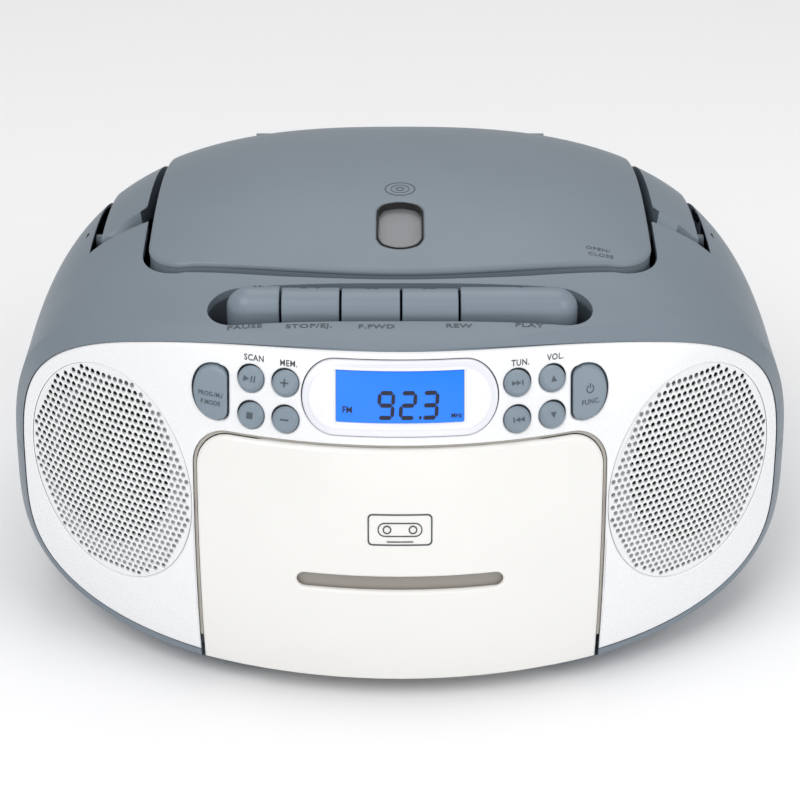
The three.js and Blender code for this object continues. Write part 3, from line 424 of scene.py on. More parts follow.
def notched_panel(steps=200):
    """The panel's outline with the tape door's bay let in from below."""
    start = acos((BAY_HALF / PANEL_HALF) ** (LOWER_POWER / 2))
    points = []
    for i in range(steps + 1):
        angle = -start + (pi + 2 * start) * i / steps
        s = sin(angle)
        power = PANEL_POWER if s >= 0 else LOWER_POWER
        height = PANEL_TOP if s >= 0 else PANEL_BOTTOM
        points.append((PANEL_HALF * bent(cos(angle), power), MID_Z + height * bent(s, power)))
    return points + door_top(BAY_HALF, BAY_TOP, BAY_CORNER)[::-1]


def door_top(half, top, corner, steps=16):
    """From the right side's corner over the top to the left side's."""
    right = [(half - corner + corner * cos(i * pi / 2 / steps),
              top - corner + corner * sin(i * pi / 2 / steps)) for i in range(steps + 1)]
    return right + [(-u, v) for u, v in reversed(right)]


def door_outline(half, top, bottom, corner):
    return [(-half, bottom), (half, bottom)] + door_top(half, top, corner)


def ellipse(cu, cv, ru, rv, sides=64):
    return [(cu + ru * cos(i * 2 * pi / sides), cv + rv * sin(i * 2 * pi / sides))
            for i in range(sides)]


def stadium(cu, cv, half, radius, sides=24):
    points = []
    for side in (1, -1):
        for i in range(sides + 1):
            angle = (i / sides - 0.5) * pi
            points.append((cu + side * (half - radius + radius * cos(angle)),
                           cv + side * radius * sin(angle)))
    return points


def rounded(u0, u1, v0, v1, radius, steps=5):
    points = []
    for cu, cv, turn in ((u1 - radius, v1 - radius, 0), (u0 + radius, v1 - radius, 90),
                         (u0 + radius, v0 + radius, 180), (u1 - radius, v0 + radius, 270)):
        for i in range(steps + 1):
            angle = radians(turn + 90 * i / steps)
            points.append((cu + radius * cos(angle), cv + radius * sin(angle)))
    return points


def d_outline(side, grow, steps=28):
    """A D: straight towards the middle of the front, curved outwards."""
    points = []
    for i in range(steps + 1):
        angle = (i / steps - 0.5) * pi
        points.append((side * (62 + (8.4 + grow) * abs(cos(angle)) ** 0.8),
                       110.2 + (8 + grow) * sin(angle)))
    inner = side * (58.6 - grow)
    for i in range(5):
        angle = radians(90 + 90 * i / 4)
        points.append((inner + side * 2.6 * (1 + cos(angle)), 115.2 + grow + 2.6 * sin(angle)))
    for i in range(5):
        angle = radians(180 + 90 * i / 4)
        points.append((inner + side * 2.6 * (1 + cos(angle)), 105.2 - grow + 2.6 * sin(angle)))
    return points if side > 0 else points[::-1]


def lid_outline(grow, corner=17, steps=20):
    half = LID_HALF + grow
    front = [((half - corner) * i / steps,
              LID_FRONT_Y - grow + ((half - corner) * i / steps) ** 2 / 560)
             for i in range(steps + 1)]
    u, v = front[-1]
    side = [(u + corner * sin(i * pi / 20), v + corner * (1 - cos(i * pi / 20)))
            for i in range(1, 11)]
    back = [(half - corner + corner * sin(i * pi / 20),
             LID_BACK_Y + grow - 6 - corner * (1 - cos(i * pi / 20))) for i in range(10, -1, -1)]
    back += [(half - 45, LID_BACK_Y + grow - 1.5), (0, LID_BACK_Y + grow)]
    right = front + side + back
    return right + [(-x, y) for x, y in right[1:-1][::-1]]


def lens_outline(grow, bow=3, steps=24):
    """The lid's window: straight sides, bowed ends and round corners."""
    u, v, half, reach = LID_WINDOW
    half, reach = half + grow, reach + grow
    points = []
    for side in (-1, 1):
        for i in range(steps + 1):
            x = -side * half * cos(pi * i / steps)
            round_off = 2.2 * max(abs(x) / half - 0.72, 0) ** 2 / 0.0784
            points.append((u + x, v + side * (reach - bow * (x / half) ** 2 - round_off)))
    return points


# ---- finishes -----------------------------------------------------------------------
def srgb(red, green, blue):
    def linear(value):
        value /= 255
        return value / 12.92 if value <= 0.04045 else ((value + 0.055) / 1.055) ** 2.4
    return linear(red), linear(green), linear(blue), 1.0


def new_material(name):
    material = bpy.data.materials.get(name)
    if material:
        return material, None, None
    material = bpy.data.materials.new(name)
    material.use_nodes = True
    tree = material.node_tree
    return material, tree, tree.nodes["Principled BSDF"]


def node(tree, kind, **inputs):
    made = tree.nodes.new(kind)
    for key, value in inputs.items():
        made.inputs[key].default_value = value
    return made


def mapped(tree, scale=(1, 1, 1), centre=(0, 0, 0)):
    """Object coordinates, moved so that centre is their origin and stretched by scale."""
    place = tree.nodes.new("ShaderNodeTexCoord")
    move = tree.nodes.new("ShaderNodeMapping")
    move.inputs["Location"].default_value = [-c * s for c, s in zip(centre, scale)]
    move.inputs["Scale"].default_value = scale
    tree.links.new(place.outputs["Object"], move.inputs["Vector"])
    return move.outputs["Vector"]


def blended(tree, factor, first, second, start=0.35, end=0.65):
    """Colour from first to second as factor goes from start to end."""
    ramp = tree.nodes.new("ShaderNodeValToRGB")
    ramp.color_ramp.elements[0].position, ramp.color_ramp.elements[0].color = start, first
    ramp.color_ramp.elements[1].position, ramp.color_ramp.elements[1].color = end, second
    tree.links.new(factor, ramp.inputs["Fac"])
    return ramp.outputs["Color"]


def moulded(name, colour, roughness, metallic=0.0, cloud=0.03, grain=1400, bump=0.03,
            stretch=(1, 1, 1), coat=0.0, rough_spread=0.05):
    """A moulded, painted or machined surface: soft tone changes, fine grain, uneven gloss."""
    material, tree, shader = new_material(name)
    if tree is None:
        return material
    shader.inputs["Metallic"].default_value = metallic
    shader.inputs["Coat Weight"].default_value = coat
    shader.inputs["Coat Roughness"].default_value = 0.08
    place = mapped(tree, stretch)
    clouds = node(tree, "ShaderNodeTexNoise", Scale=22.0, Detail=3.0)
    tree.links.new(place, clouds.inputs["Vector"])
    darker = [c * (1 - cloud) for c in colour[:3]] + [1]
    lighter = [min(c * (1 + cloud), 1) for c in colour[:3]] + [1]
    tree.links.new(blended(tree, clouds.outputs["Fac"], darker, lighter),
                   shader.inputs["Base Color"])
    fine = node(tree, "ShaderNodeTexNoise", Scale=float(grain), Detail=2.0)
    tree.links.new(place, fine.inputs["Vector"])
    gloss = node(tree, "ShaderNodeMapRange")
    gloss.inputs["To Min"].default_value = max(roughness - rough_spread, 0.02)
    gloss.inputs["To Max"].default_value = roughness + rough_spread
    tree.links.new(fine.outputs["Fac"], gloss.inputs["Value"])
    tree.links.new(gloss.outputs["Result"], shader.inputs["Roughness"])
    relief = node(tree, "ShaderNodeBump", Strength=bump, Distance=0.0004)
    tree.links.new(fine.outputs["Fac"], relief.inputs["Height"])
    tree.links.new(relief.outputs["Normal"], shader.inputs["Normal"])
    return material


def clear_plastic(name, colour, roughness, transmission):
    material = moulded(name, colour, roughness, cloud=0.02, bump=0.005, rough_spread=0.02)
    shader = material.node_tree.nodes["Principled BSDF"]
    shader.inputs["Transmission Weight"].default_value = transmission
    shader.inputs["IOR"].default_value = 1.49
    return material


def backlit_lcd(name, colour):
    """Backlit glass, a little brighter towards its lamp at the left edge."""
    material, tree, shader = new_material(name)
    if tree is None:
        return material
    place = mapped(tree, (1, 1, 1), (-0.0215, 0, DISPLAY_Z * MM))
    far = tree.nodes.new("ShaderNodeVectorMath")
    far.operation = "LENGTH"
    tree.links.new(place, far.inputs[0])
    spread = node(tree, "ShaderNodeMapRange")
    spread.inputs["From Max"].default_value = 0.014
    tree.links.new(far.outputs["Value"], spread.inputs["Value"])
    glow = blended(tree, spread.outputs["Result"], srgb(70, 150, 250), colour, 0.0, 1.0)
    shader.inputs["Base Color"].default_value = srgb(0, 16, 60)
    tree.links.new(glow, shader.inputs["Emission Color"])
    shader.inputs["Emission Strength"].default_value = 0.92
    shader.inputs["Roughness"].default_value = 0.2
    return material


def ringed(name, colour, second, centre, rings, roughness, metallic=0.0):
    """A round part with fine turned rings about centre in x and z."""
    material, tree, shader = new_material(name)
    if tree is None:
        return material
    place = mapped(tree, (1, 0.6, 1), [c * MM for c in centre])
    far = tree.nodes.new("ShaderNodeVectorMath")
    far.operation = "LENGTH"
    tree.links.new(place, far.inputs[0])
    wave = tree.nodes.new("ShaderNodeMath")
    wave.operation = "MULTIPLY"
    wave.inputs[1].default_value = rings
    tree.links.new(far.outputs["Value"], wave.inputs[0])
    ripple = tree.nodes.new("ShaderNodeMath")
    ripple.operation = "SINE"
    tree.links.new(wave.outputs["Value"], ripple.inputs[0])
    tree.links.new(blended(tree, ripple.outputs["Value"], colour, second, 0.1, 0.9),
                   shader.inputs["Base Color"])
    relief = node(tree, "ShaderNodeBump", Strength=0.25, Distance=0.0003)
    tree.links.new(ripple.outputs["Value"], relief.inputs["Height"])
    tree.links.new(relief.outputs["Normal"], shader.inputs["Normal"])
    shader.inputs["Roughness"].default_value = roughness
    shader.inputs["Metallic"].default_value = metallic
    return material


def silver_with_painted_sheen(name):
    """The disc's playing side seen from above: silver with faint radial bands of colour, a painted
    rainbow sheen.
    """
    material, tree, shader = new_material(name)
    if tree is None:
        return material
    place = mapped(tree, (1, 1, 1), (0, DISC_Y * MM, 0))
    sweep = tree.nodes.new("ShaderNodeTexGradient")
    sweep.gradient_type = "RADIAL"
    tree.links.new(place, sweep.inputs["Vector"])
    # These colour stops are painted reflection: the disc's rainbow sheen is fixed as bands round
    # its centre.
    ramp = tree.nodes.new("ShaderNodeValToRGB")
    stops = [srgb(196, 190, 186), srgb(206, 186, 176), srgb(188, 198, 190), srgb(182, 190, 206),
             srgb(204, 188, 198), srgb(214, 208, 200), srgb(190, 196, 188), srgb(196, 190, 186)]
    ramp.color_ramp.elements.remove(ramp.color_ramp.elements[0])
    for i, colour in enumerate(stops):
        element = (ramp.color_ramp.elements[0] if i == 0
                   else ramp.color_ramp.elements.new(i / (len(stops) - 1)))
        element.position, element.color = i / (len(stops) - 1), colour
    tree.links.new(sweep.outputs["Fac"], ramp.inputs["Fac"])
    tree.links.new(ramp.outputs["Color"], shader.inputs["Base Color"])
    shader.inputs["Metallic"].default_value = 0.85
    shader.inputs["Roughness"].default_value = 0.22
    return material


def printed_board(name):
    """A lacquered circuit board: copper tracks under green, with solder points."""
    material, tree, shader = new_material(name)
    if tree is None:
        return material
    place = mapped(tree)
    tracks = node(tree, "ShaderNodeTexBrick", Scale=90.0)
    tracks.inputs["Mortar Size"].default_value = 0.05
    tracks.inputs["Color1"].default_value = srgb(34, 92, 54)
    tracks.inputs["Color2"].default_value = srgb(40, 104, 60)
    tracks.inputs["Mortar"].default_value = srgb(74, 140, 78)
    tree.links.new(place, tracks.inputs["Vector"])
    points = node(tree, "ShaderNodeTexVoronoi", Scale=210.0)
    tree.links.new(place, points.inputs["Vector"])
    mix = tree.nodes.new("ShaderNodeMix")
    mix.data_type = "RGBA"
    near = blended(tree, points.outputs["Distance"], (1, 1, 1, 1), (0, 0, 0, 1), 0.16, 0.2)
    tree.links.new(near, mix.inputs["Factor"])
    tree.links.new(tracks.outputs["Color"], mix.inputs["A"])
    mix.inputs["B"].default_value = srgb(190, 192, 188)
    tree.links.new(mix.outputs["Result"], shader.inputs["Base Color"])
    shader.inputs["Roughness"].default_value = 0.4
    return material


SHELL_COLOUR = srgb(116, 127, 137)
WHITE_COLOUR = srgb(236, 237, 239)
DOOR_COLOUR = srgb(234, 233, 230)


def shell_paint():
    colour = tuple(bpy.context.scene.player_settings.shell_colour)
    return moulded("shell_paint", colour, 0.44, cloud=0.02, bump=0.035)


def key_paint():
    return moulded("key_paint", srgb(118, 130, 141), 0.36, cloud=0.02, bump=0.02)


def button_paint():
    return moulded("button_paint", srgb(126, 140, 151), 0.4, cloud=0.02, bump=0.02)


def front_white():
    return moulded("front_white", WHITE_COLOUR, 0.28, cloud=0.008, bump=0.012, coat=0.25)


def door_white():
    return moulded("door_white", DOOR_COLOUR, 0.3, cloud=0.008, bump=0.012, coat=0.2)


def grille_white():
    return moulded("grille_white", srgb(234, 235, 236), 0.36, cloud=0.01, bump=0.02)


def black_plastic():
    return moulded("black_plastic", srgb(30, 31, 33), 0.5, cloud=0.08, bump=0.06)


def black_rubber():
    return moulded("black_rubber", srgb(26, 26, 27), 0.82, cloud=0.1, bump=0.12, grain=2600)


def zinc_steel():
    return moulded("zinc_steel", srgb(186, 188, 190), 0.34, metallic=1.0, cloud=0.05,
                   grain=600, bump=0.04, stretch=(1, 1, 9))


def chromed_tube():
    return moulded("chromed_tube", srgb(216, 218, 221), 0.1, metallic=1.0, cloud=0.02, bump=0.0,
                   rough_spread=0.03)


def turned_brass():
    return moulded("turned_brass", srgb(200, 166, 98), 0.28, metallic=1.0, cloud=0.06, grain=900,
                   bump=0.05, stretch=(1, 6, 1))


def lettering():
    return moulded("lettering", srgb(66, 70, 74), 0.5, cloud=0.05, bump=0.0)


def deck_lettering():
    return moulded("deck_lettering", srgb(70, 78, 86), 0.5, cloud=0.05, bump=0.0)


# ---- finished pieces ----------------------------------------------------------------
def place_mark(name, bm, rides, ink):
    """A printed mark, flat enough to need no weighted normals."""
    return place_piece(name, bm, rides, ink, weighted=False)


def place_piece(name, bm, rides, material, replaces=(), angle=35, weighted=True):
    """Turns a mesh built in millimetres into a finished piece that rides on a body."""
    bmesh.ops.scale(bm, vec=(MM, MM, MM), verts=bm.verts)
    mesh = bpy.data.meshes.new(name)
    bm.to_mesh(mesh)
    bm.free()
    mesh.shade_smooth()
    mesh.set_sharp_from_angle(angle=radians(angle))
    obj = bpy.data.objects.new(name, mesh)
    bpy.context.scene.collection.objects.link(obj)
    obj.data.materials.append(material)
    if weighted:
        modifier = obj.modifiers.new("weighted_normal", "WEIGHTED_NORMAL")
        modifier.keep_sharp = True
    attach(obj, rides)
    if replaces:
        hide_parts(*replaces)
    return obj


def text_outline(words, size, thick=0.05, spacing=1.0, bold=0.0):
    """Lettering as a flat mesh in u and v, its middle at the origin."""
    curve = bpy.data.curves.new("words", "FONT")
    curve.body = words
    curve.size = size
    curve.align_x = "CENTER"
    curve.align_y = "CENTER"
    curve.extrude = thick
    curve.offset = bold
    curve.resolution_u = 3
    curve.space_character = spacing
    obj = bpy.data.objects.new("words", curve)
    bpy.context.scene.collection.objects.link(obj)
    bm = evaluated(obj)
    discard(obj)
    bmesh.ops.remove_doubles(bm, verts=bm.verts, dist=1e-4)
    return bm


def laid(bm, place, u, v, proud=0.1, wide=1.0, turn=0.0):
    """Lays a flat mark on one of the case's surfaces, its middle at u and v."""
    c, s = cos(radians(turn)), sin(radians(turn))
    for vert in bm.verts:
        x, y = vert.co.x * wide, vert.co.y
        vert.co = place(u + x * c - y * s, v + x * s + y * c, -proud - vert.co.z)
    bmesh.ops.recalc_face_normals(bm, faces=bm.faces)
    return bm


def mark(outline, thick=0.05):
    """A flat mark, such as an icon's triangle, from its outline."""
    return prism(outline, "Z", -thick, thick)


def bar_mark(width, height, u=0.0, v=0.0):
    return mark([(u - width / 2, v - height / 2), (u + width / 2, v - height / 2),
                 (u + width / 2, v + height / 2), (u - width / 2, v + height / 2)])


def arrow_mark(size, way, u=0.0, v=0.0):
    """A triangle that points along way: right, left, up or down."""
    turn = {"right": 0, "up": 90, "left": 180, "down": 270}[way]
    c, s = cos(radians(turn)), sin(radians(turn))
    shape = [(-size * 0.5, -size * 0.5), (size * 0.5, 0), (-size * 0.5, size * 0.5)]
    return mark([(u + x * c - y * s, v + x * s + y * c) for x, y in shape])


# ---- settings -----------------------------------------------------------------------
class PlayerSettings(bpy.types.PropertyGroup):
    """Sizes and colours that a user would change."""
    shell_colour: FloatVectorProperty(
        name="Shell colour", description="Paint of the cabinet, lid and handle",
        subtype="COLOR", size=4, min=0, max=1, default=SHELL_COLOUR)
    display_colour: FloatVectorProperty(
        name="Display colour", description="Backlight of the display",
        subtype="COLOR", size=4, min=0, max=1, default=srgb(0, 98, 236))
    readout: StringProperty(
        name="Readout", description="Number that the display shows", default="92.3")
    hole_pitch: FloatProperty(
        name="Hole pitch", description="Distance between the grille's holes, in millimetres",
        default=2.62, min=2.4, max=6.0)
    hole_size: FloatProperty(
        name="Hole size", description="Width of a grille hole, in millimetres",
        default=1.95, min=0.8, max=4.0)
    door_edge: FloatProperty(
        name="Door edge", description="Rounding of the tape door's edge, in millimetres",
        default=1.1, min=0.2, max=2.0)
    lid_edge: FloatProperty(
        name="Lid edge", description="Rounding of the disc lid's edge, in millimetres",
        default=1.2, min=0.2, max=1.25)
    body_sides: IntProperty(
        name="Body sides", description="Faces round the case", default=192, min=48, max=384)


class StageSettings(bpy.types.PropertyGroup):
    """Light, floor and camera."""
    key_power: FloatProperty(
        name="Key light", description="Power of the main soft light", default=15.0, min=0,
        unit="POWER")
    fill_power: FloatProperty(
        name="Fill light", description="Power of the side lights", default=6.5, min=0,
        unit="POWER")
    surround: FloatProperty(
        name="Surround", description="Brightness of the white surround", default=0.46, min=0)
    lens: FloatProperty(
        name="Lens", description="Focal length of the camera", default=98.9, min=20,
        unit="CAMERA")


# ---- operators ----------------------------------------------------------------------
class PieceOperator(bpy.types.Operator):
    """Shared parts of the operators that make pieces."""
    bl_options = {"REGISTER", "UNDO"}

    @property
    def settings(self):
        return bpy.context.scene.player_settings


class PLAYER_OT_stage(bpy.types.Operator):
    """Make the floor, the soft lights and the camera"""
    bl_idname = "player.stage"
    bl_label = "Stage"

    def execute(self, context):
        settings = context.scene.stage_settings
        bm = bmesh.new()
        bmesh.ops.create_grid(bm, x_segments=4, y_segments=4, size=6)
        mesh = bpy.data.meshes.new("floor")
        bm.to_mesh(mesh)
        bm.free()
        floor = bpy.data.objects.new("floor", mesh)
        context.scene.collection.objects.link(floor)
        floor.data.materials.append(
            moulded("floor_white", srgb(246, 246, 247), 0.6, cloud=0.002, bump=0.0))
        lights = (
            ("key_light", (-0.75, -0.95, 1.5), 1.3, settings.key_power),
            ("fill_light", (1.15, -0.75, 0.85), 1.1, settings.fill_power),
            ("top_light", (0.1, 0.55, 1.5), 1.2, settings.fill_power),
            ("front_light", (0.0, -1.7, 0.55), 1.0, settings.fill_power * 0.55),
        )
        for name, at, size, power in lights:
            data = bpy.data.lights.new(name, "AREA")
            data.size = size
            data.energy = power
            light = bpy.data.objects.new(name, data)
            light.location = at
            light.rotation_euler = (Vector((0, 0, 0.07)) - Vector(at)).to_track_quat(
                "-Z", "Y").to_euler()
            context.scene.collection.objects.link(light)
        world = bpy.data.worlds.new("surround")
        world.use_nodes = True
        background = world.node_tree.nodes["Background"]
        background.inputs["Color"].default_value = (1, 1, 1, 1)
        background.inputs["Strength"].default_value = settings.surround
        context.scene.world = world
        context.scene.view_settings.view_transform = "Standard"
        camera = bpy.data.objects.new("camera", bpy.data.cameras.new("camera"))
        camera.data.lens = settings.lens
        camera.data.clip_start = 0.01
        camera.location = (0, -0.7434, 0.4698)
        camera.rotation_euler = (Vector((0, 0, 0.0577)) - camera.location).to_track_quat(
            "-Z", "Y").to_euler()
        context.scene.collection.objects.link(camera)
        context.scene.camera = camera
        return {"FINISHED"}


def handle_channel(grow):
    arms = both(lambda side: beside_middle(side, WELL_IN - grow, HANDLE_SLOT + grow,
                                           HANDLE_FRONT_Y - 2 - grow, 130, HANDLE_LOW - 1.5, 170))
    return joined(arms, box(-100, 100, HANDLE_BAR_Y - 3 - grow, 130, HANDLE_LOW - 1.5, 170))


def panel_seat():
    return joined(plate(panel_outline(-GAP), -12, PANEL_T + GAP, on_front),
                  plate(panel_outline(1.4), PANEL_T, 9.4, on_front),
                  plate(panel_outline(5), PANEL_T, 36, on_front))


def door_bay():
    return joined(prism(door_outline(BAY_HALF, BAY_TOP, -2, BAY_CORNER), "Y", -130, -99.4),
                  prism(door_outline(BAY_HALF, BAY_TOP, 7.4, BAY_CORNER), "Y", -130, -90.5))


def inner_body():
    return body(inset=WALL, front=9, back=WALL, bevel=0, around=96, along=12)


def within_skin():
    """The case's body a little under its skin, for walls that must not break the surface."""
    return body(inset=0.7, front=0.7, back=0.7, around=96, along=16)


class PLAYER_OT_top_shell(PieceOperator):
    """Make the upper half of the cabinet with its lid opening, key recess and handle channel"""
    bl_idname = "player.top_shell"
    bl_label = "Upper cabinet"

    def execute(self, context):
        around = self.settings.body_sides
        above = box(-150, 150, -130, 130, SEAM_Z + 0.15, 170)
        shell = common(cut(body(around=around), inner_body()), above)
        depth = HANDLE_T + 6
        trough = common(cut(within_skin(),
                            body(inset=depth, back=depth, bevel=0, around=96, along=12)),
                        handle_channel(2), box(-150, 150, -130, 130, SEAM_Z + 0.15, 170))
        cups = common(both(lambda side: rod(WELL_R + 2.4, 28.4,
                                            (side * (WELL_IN - 2), *HANDLE_PIVOT),
                                            (side, 0, 0))), within_skin())
        groove_walls = common(
            joined(box(-109, 112, ANTENNA_Y - 6.6, 130, ANTENNA_Z - 8, ANTENNA_Z + 8),
                   box(ANTENNA_X - 7, ANTENNA_X + 7, ANTENNA_Y - 6.6, 130, ANTENNA_Z,
                       ANTENNA_Z + 14),
                   box(ANTENNA_X - 7, ANTENNA_X + 42, ANTENNA_Y - 6.6, 130, ANTENNA_Z,
                       ANTENNA_Z + 11)), within_skin())
        shell = joined(shell, trough, cups, groove_walls)
        depth = HANDLE_T + 4
        channel = cut(handle_channel(0), body(inset=depth, back=depth, bevel=0, around=96,
                                              along=12))
        tools = (
            box(-106, 150, ANTENNA_Y - 4.6, 130, ANTENNA_Z - 6, ANTENNA_Z + 6),
            rod(4, 12, (ANTENNA_X - 24, ANTENNA_Y, ANTENNA_Z), (1, 0, 0)),
            channel,
            both(lambda side: rod(WELL_R, 24.4, (side * WELL_IN, *HANDLE_PIVOT), (side, 0, 0))),
            both(lambda side: rod(HANDLE_HOLE_R, 5, (side * 114, *HANDLE_PIVOT), (side, 0, 0))),
            prism(lid_outline(LID_GAP), "Z", 90, 170),
            box(-72, 72, 84, 92.5, 127, 170),
            both(lambda side: rod(5, 17, (side * 42.5, *LID_PIVOT), (side, 0, 0))),
            prism(stadium(0, *KEY_RECESS), "Z", 100, 170),
            joined(box(ANTENNA_X - 5, ANTENNA_X + 5, ANTENNA_Y - 4.6, 130, ANTENNA_Z,
                       ANTENNA_Z + 12),
                   box(ANTENNA_X - 5, ANTENNA_X + 40, ANTENNA_Y - 4.6, 130, ANTENNA_Z,
                       ANTENNA_Z + 9)),
            panel_seat(),
            door_bay(),
        )
        shell = largest(cut(shell, *tools))
        place_piece("top_shell", shell, "case", shell_paint(),
                    ["top_cabinet"], angle=24, weighted=False)
        return {"FINISHED"}


class PLAYER_OT_bottom_shell(PieceOperator):
    """Make the lower half of the cabinet with its battery bay, inlet and door hinge ears"""
    bl_idname = "player.bottom_shell"
    bl_label = "Lower cabinet"

    def execute(self, context):
        around = self.settings.body_sides
        half, front = BATTERY["half"], BATTERY["front"]
        bottom, top, mouth = BATTERY["bottom"], BATTERY["top"], BATTERY["mouth"]
        below = box(-150, 150, -130, 130, -5, SEAM_Z - 0.15)
        shell = common(cut(body(around=around), inner_body()), below)
        ears = both(lambda side: joined(
            beside_middle(side, 40.2, 44.8, -103, -84, 9, 16.2),
            beside_middle(side, 40.2, 44.8, -90, -84, 5, 12)))
        bay_walls = common(box(-half - 2, half + 2, front - 2, 125, BASE_Z + 1, SEAM_Z - 0.15),
                           within_skin())
        shell = joined(shell, ears, bay_walls)
        leaf_end = half + 2.4
        tools = (
            panel_seat(),
            door_bay(),
            both(lambda side: rod(DOOR_PIN_HOLE_R, 8, (side * 38, *DOOR_PIVOT), (side, 0, 0))),
            joined(box(-half, half, front, 104, bottom, top),
                   box(-half, half, 100, 130, mouth, top)),
            cut(box(-leaf_end, leaf_end, 90, 130, mouth - 0.5, top),
                body(back=3.4, around=96, along=12)),
            rod(LEAF_SWEEP_R, 2 * leaf_end, (-leaf_end, *BATTERY_PIVOT), (1, 0, 0)),
            both(lambda side: rod(LEAF_END_SWEEP_R, 8, (side * leaf_end, *BATTERY_PIVOT),
                                  (-side, 0, 0))),
            box(66, 92, 90, 130, 22, 40),
            rod(3.2, 30, (-84, 95, 34), (0, 1, 0)),
            *[rod(6.4, 6, (x, y, -1), (0, 0, 1)) for _, x, y in FEET],
        )
        shell = largest(cut(shell, *tools))
        place_piece("bottom_shell", shell, "case", shell_paint(),
                    ["bottom_cabinet"], weighted=False)
        return {"FINISHED"}


class PLAYER_OT_front_panel(PieceOperator):
    """Make the bowed white front panel with its openings and lettering"""
    bl_idname = "player.front_panel"
    bl_label = "Front panel"

    def execute(self, context):
        tilt = cos(asin(GRILLE_X / FRONT_RX))
        holes = [ellipse(side * GRILLE_X, GRILLE_Z, GRILLE_R * tilt + GAP, GRILLE_R + GAP, 96)
                 for side in (-1, 1)]
        holes.append(stadium(0, DISPLAY_Z, DISPLAY_HALF + GAP, DISPLAY_R + GAP))
        radius = BUTTON_R + GAP
        for x in BUTTON_X:
            squeeze = sqrt(1 - (x / FRONT_RX) ** 2)
            for z in BUTTON_Z:
                drop = (z - FRONT_ZC) / FRONT_RZ
                holes.append(ellipse(x, z, radius * squeeze, radius * sqrt(1 - drop * drop), 40))
        holes += [d_outline(side, GAP + 0.3) for side in (-1, 1)]
        panel = plate(notched_panel(), 0, PANEL_T, on_front, holes=holes, edge=0.6, grid=7)
        place_piece("front_face", panel, "case", front_white(), ["front_panel"])
        words = (("SCAN", BUTTON_X[0] + 1.1, 122.2), ("MEM.", BUTTON_X[1] + 1.1, 121.8),
                 ("TUN.", BUTTON_X[2] + 1.1, 121.8), ("VOL.", BUTTON_X[3] + 1.1, 122.2))
        for text, x, z in words:
            bm = laid(text_outline(text, 2.5, 0.03, 1.1, bold=0.045), on_front, x, z, proud=0.06)
            place_mark(f"label_{text[:3].lower()}", bm, "case", lettering())
        return {"FINISHED"}


class PLAYER_OT_grilles(PieceOperator):
    """Make the perforated speaker grilles with the baskets and cones behind them"""
    bl_idname = "player.grilles"
    bl_label = "Speakers"

    def holes(self):
        """Short ten-sided pins on a staggered lattice, to be cut from the plate."""
        pitch, size = self.settings.hole_pitch, self.settings.hole_size
        pins = bmesh.new()
        bmesh.ops.create_cone(pins, cap_ends=True, segments=10, radius1=size / 2,
                              radius2=size / 2, depth=4)
        first = everything(pins)
        rows = int(GRILLE_R / (pitch * 0.866)) + 2
        places = []
        for row in range(-rows, rows + 1):
            for column in range(-rows, rows + 1):
                u = (column + (row % 2) / 2) * pitch
                v = row * pitch * 0.866
                if hypot(u, v) < GRILLE_R - 1.0 and (row, column) != (0, 0):
                    places.append((u, v))
        for u, v in places:
            copy = bmesh.ops.duplicate(pins, geom=first)["geom"]
            bmesh.ops.translate(pins, vec=(u, v, 0),
                                verts=[g for g in copy if isinstance(g, bmesh.types.BMVert)])
        return pins

    def execute(self, context):
        outward = front_normal(GRILLE_X, GRILLE_Z)
        squeeze = cos(asin(GRILLE_X / FRONT_RX))
        cone_profile = [(0, 19), (4, 18.4), (8, 16.6), (11, 19.4), (16, 16.2), (22, 12.8),
                        (28, 9.4), (28.8, 8.7), (30, 8.5), (31, 8.9), (31.6, 9.4), (31.6, 10.6),
                        (28.4, 10.6), (11.4, 21), (0, 21)]
        basket_profile = [(32.4, 9), (35.4, 9), (35.4, 11.2), (32, 13), (19, 24), (19, 37),
                          (0, 37), (0, 35), (12.6, 35), (12.6, 24), (30, 12.4), (32.4, 12.4),
                          (32.4, 9)]
        for name, side in (("left", -1), ("right", 1)):
            bm = bmesh.new()
            bmesh.ops.create_circle(bm, cap_ends=True, segments=128, radius=GRILLE_R + 0.2)
            made = bmesh.ops.extrude_face_region(bm, geom=bm.faces[:])["geom"]
            bmesh.ops.translate(bm, vec=(0, 0, 1.4),
                                verts=[g for g in made if isinstance(g, bmesh.types.BMVert)])
            bmesh.ops.recalc_face_normals(bm, faces=bm.faces)
            bm = cut(bm, self.holes())
            for vert in bm.verts:
                vert.co = on_front(side * GRILLE_X + vert.co.x * squeeze, GRILLE_Z + vert.co.y,
                                   2.1 - vert.co.z)
            bmesh.ops.recalc_face_normals(bm, faces=bm.faces)
            place_piece(f"{name}_speaker_grille", bm, "case", grille_white(),
                        [f"{name}_grille"])
            cu, cv = side * (GRILLE_X + 3.2), GRILLE_Z + 5.2
            rim = ellipse(side * GRILLE_X, GRILLE_Z, 37.6 * squeeze, 37.6, 96)
            mouth = ellipse(cu, cv, 31.6 * squeeze, 31.2, 96)
            baffle = plate(rim, 3.6, 4.6, on_front, holes=[mouth])
            place_piece(f"{name}_baffle", baffle, "case", grille_white())
            at = (side * GRILLE_X, front_at(GRILLE_X, GRILLE_Z), GRILLE_Z)
            inward = (-outward.x * side, -outward.y, -outward.z)
            basket = turned(basket_profile, at, inward, 64)
            place_piece(f"{name}_basket", basket, "case", zinc_steel(),
                        [f"{name}_speaker_basket"])
            cone = turned(cone_profile, at, inward, 64)
            paper = ringed("paper_cone", srgb(44, 42, 41), srgb(66, 63, 60), at, 4200, 0.9)
            place_piece(f"{name}_cone_paper", cone, f"{name}_cone", paper,
                        [f"{name}_speaker_cone"])
        return {"FINISHED"}


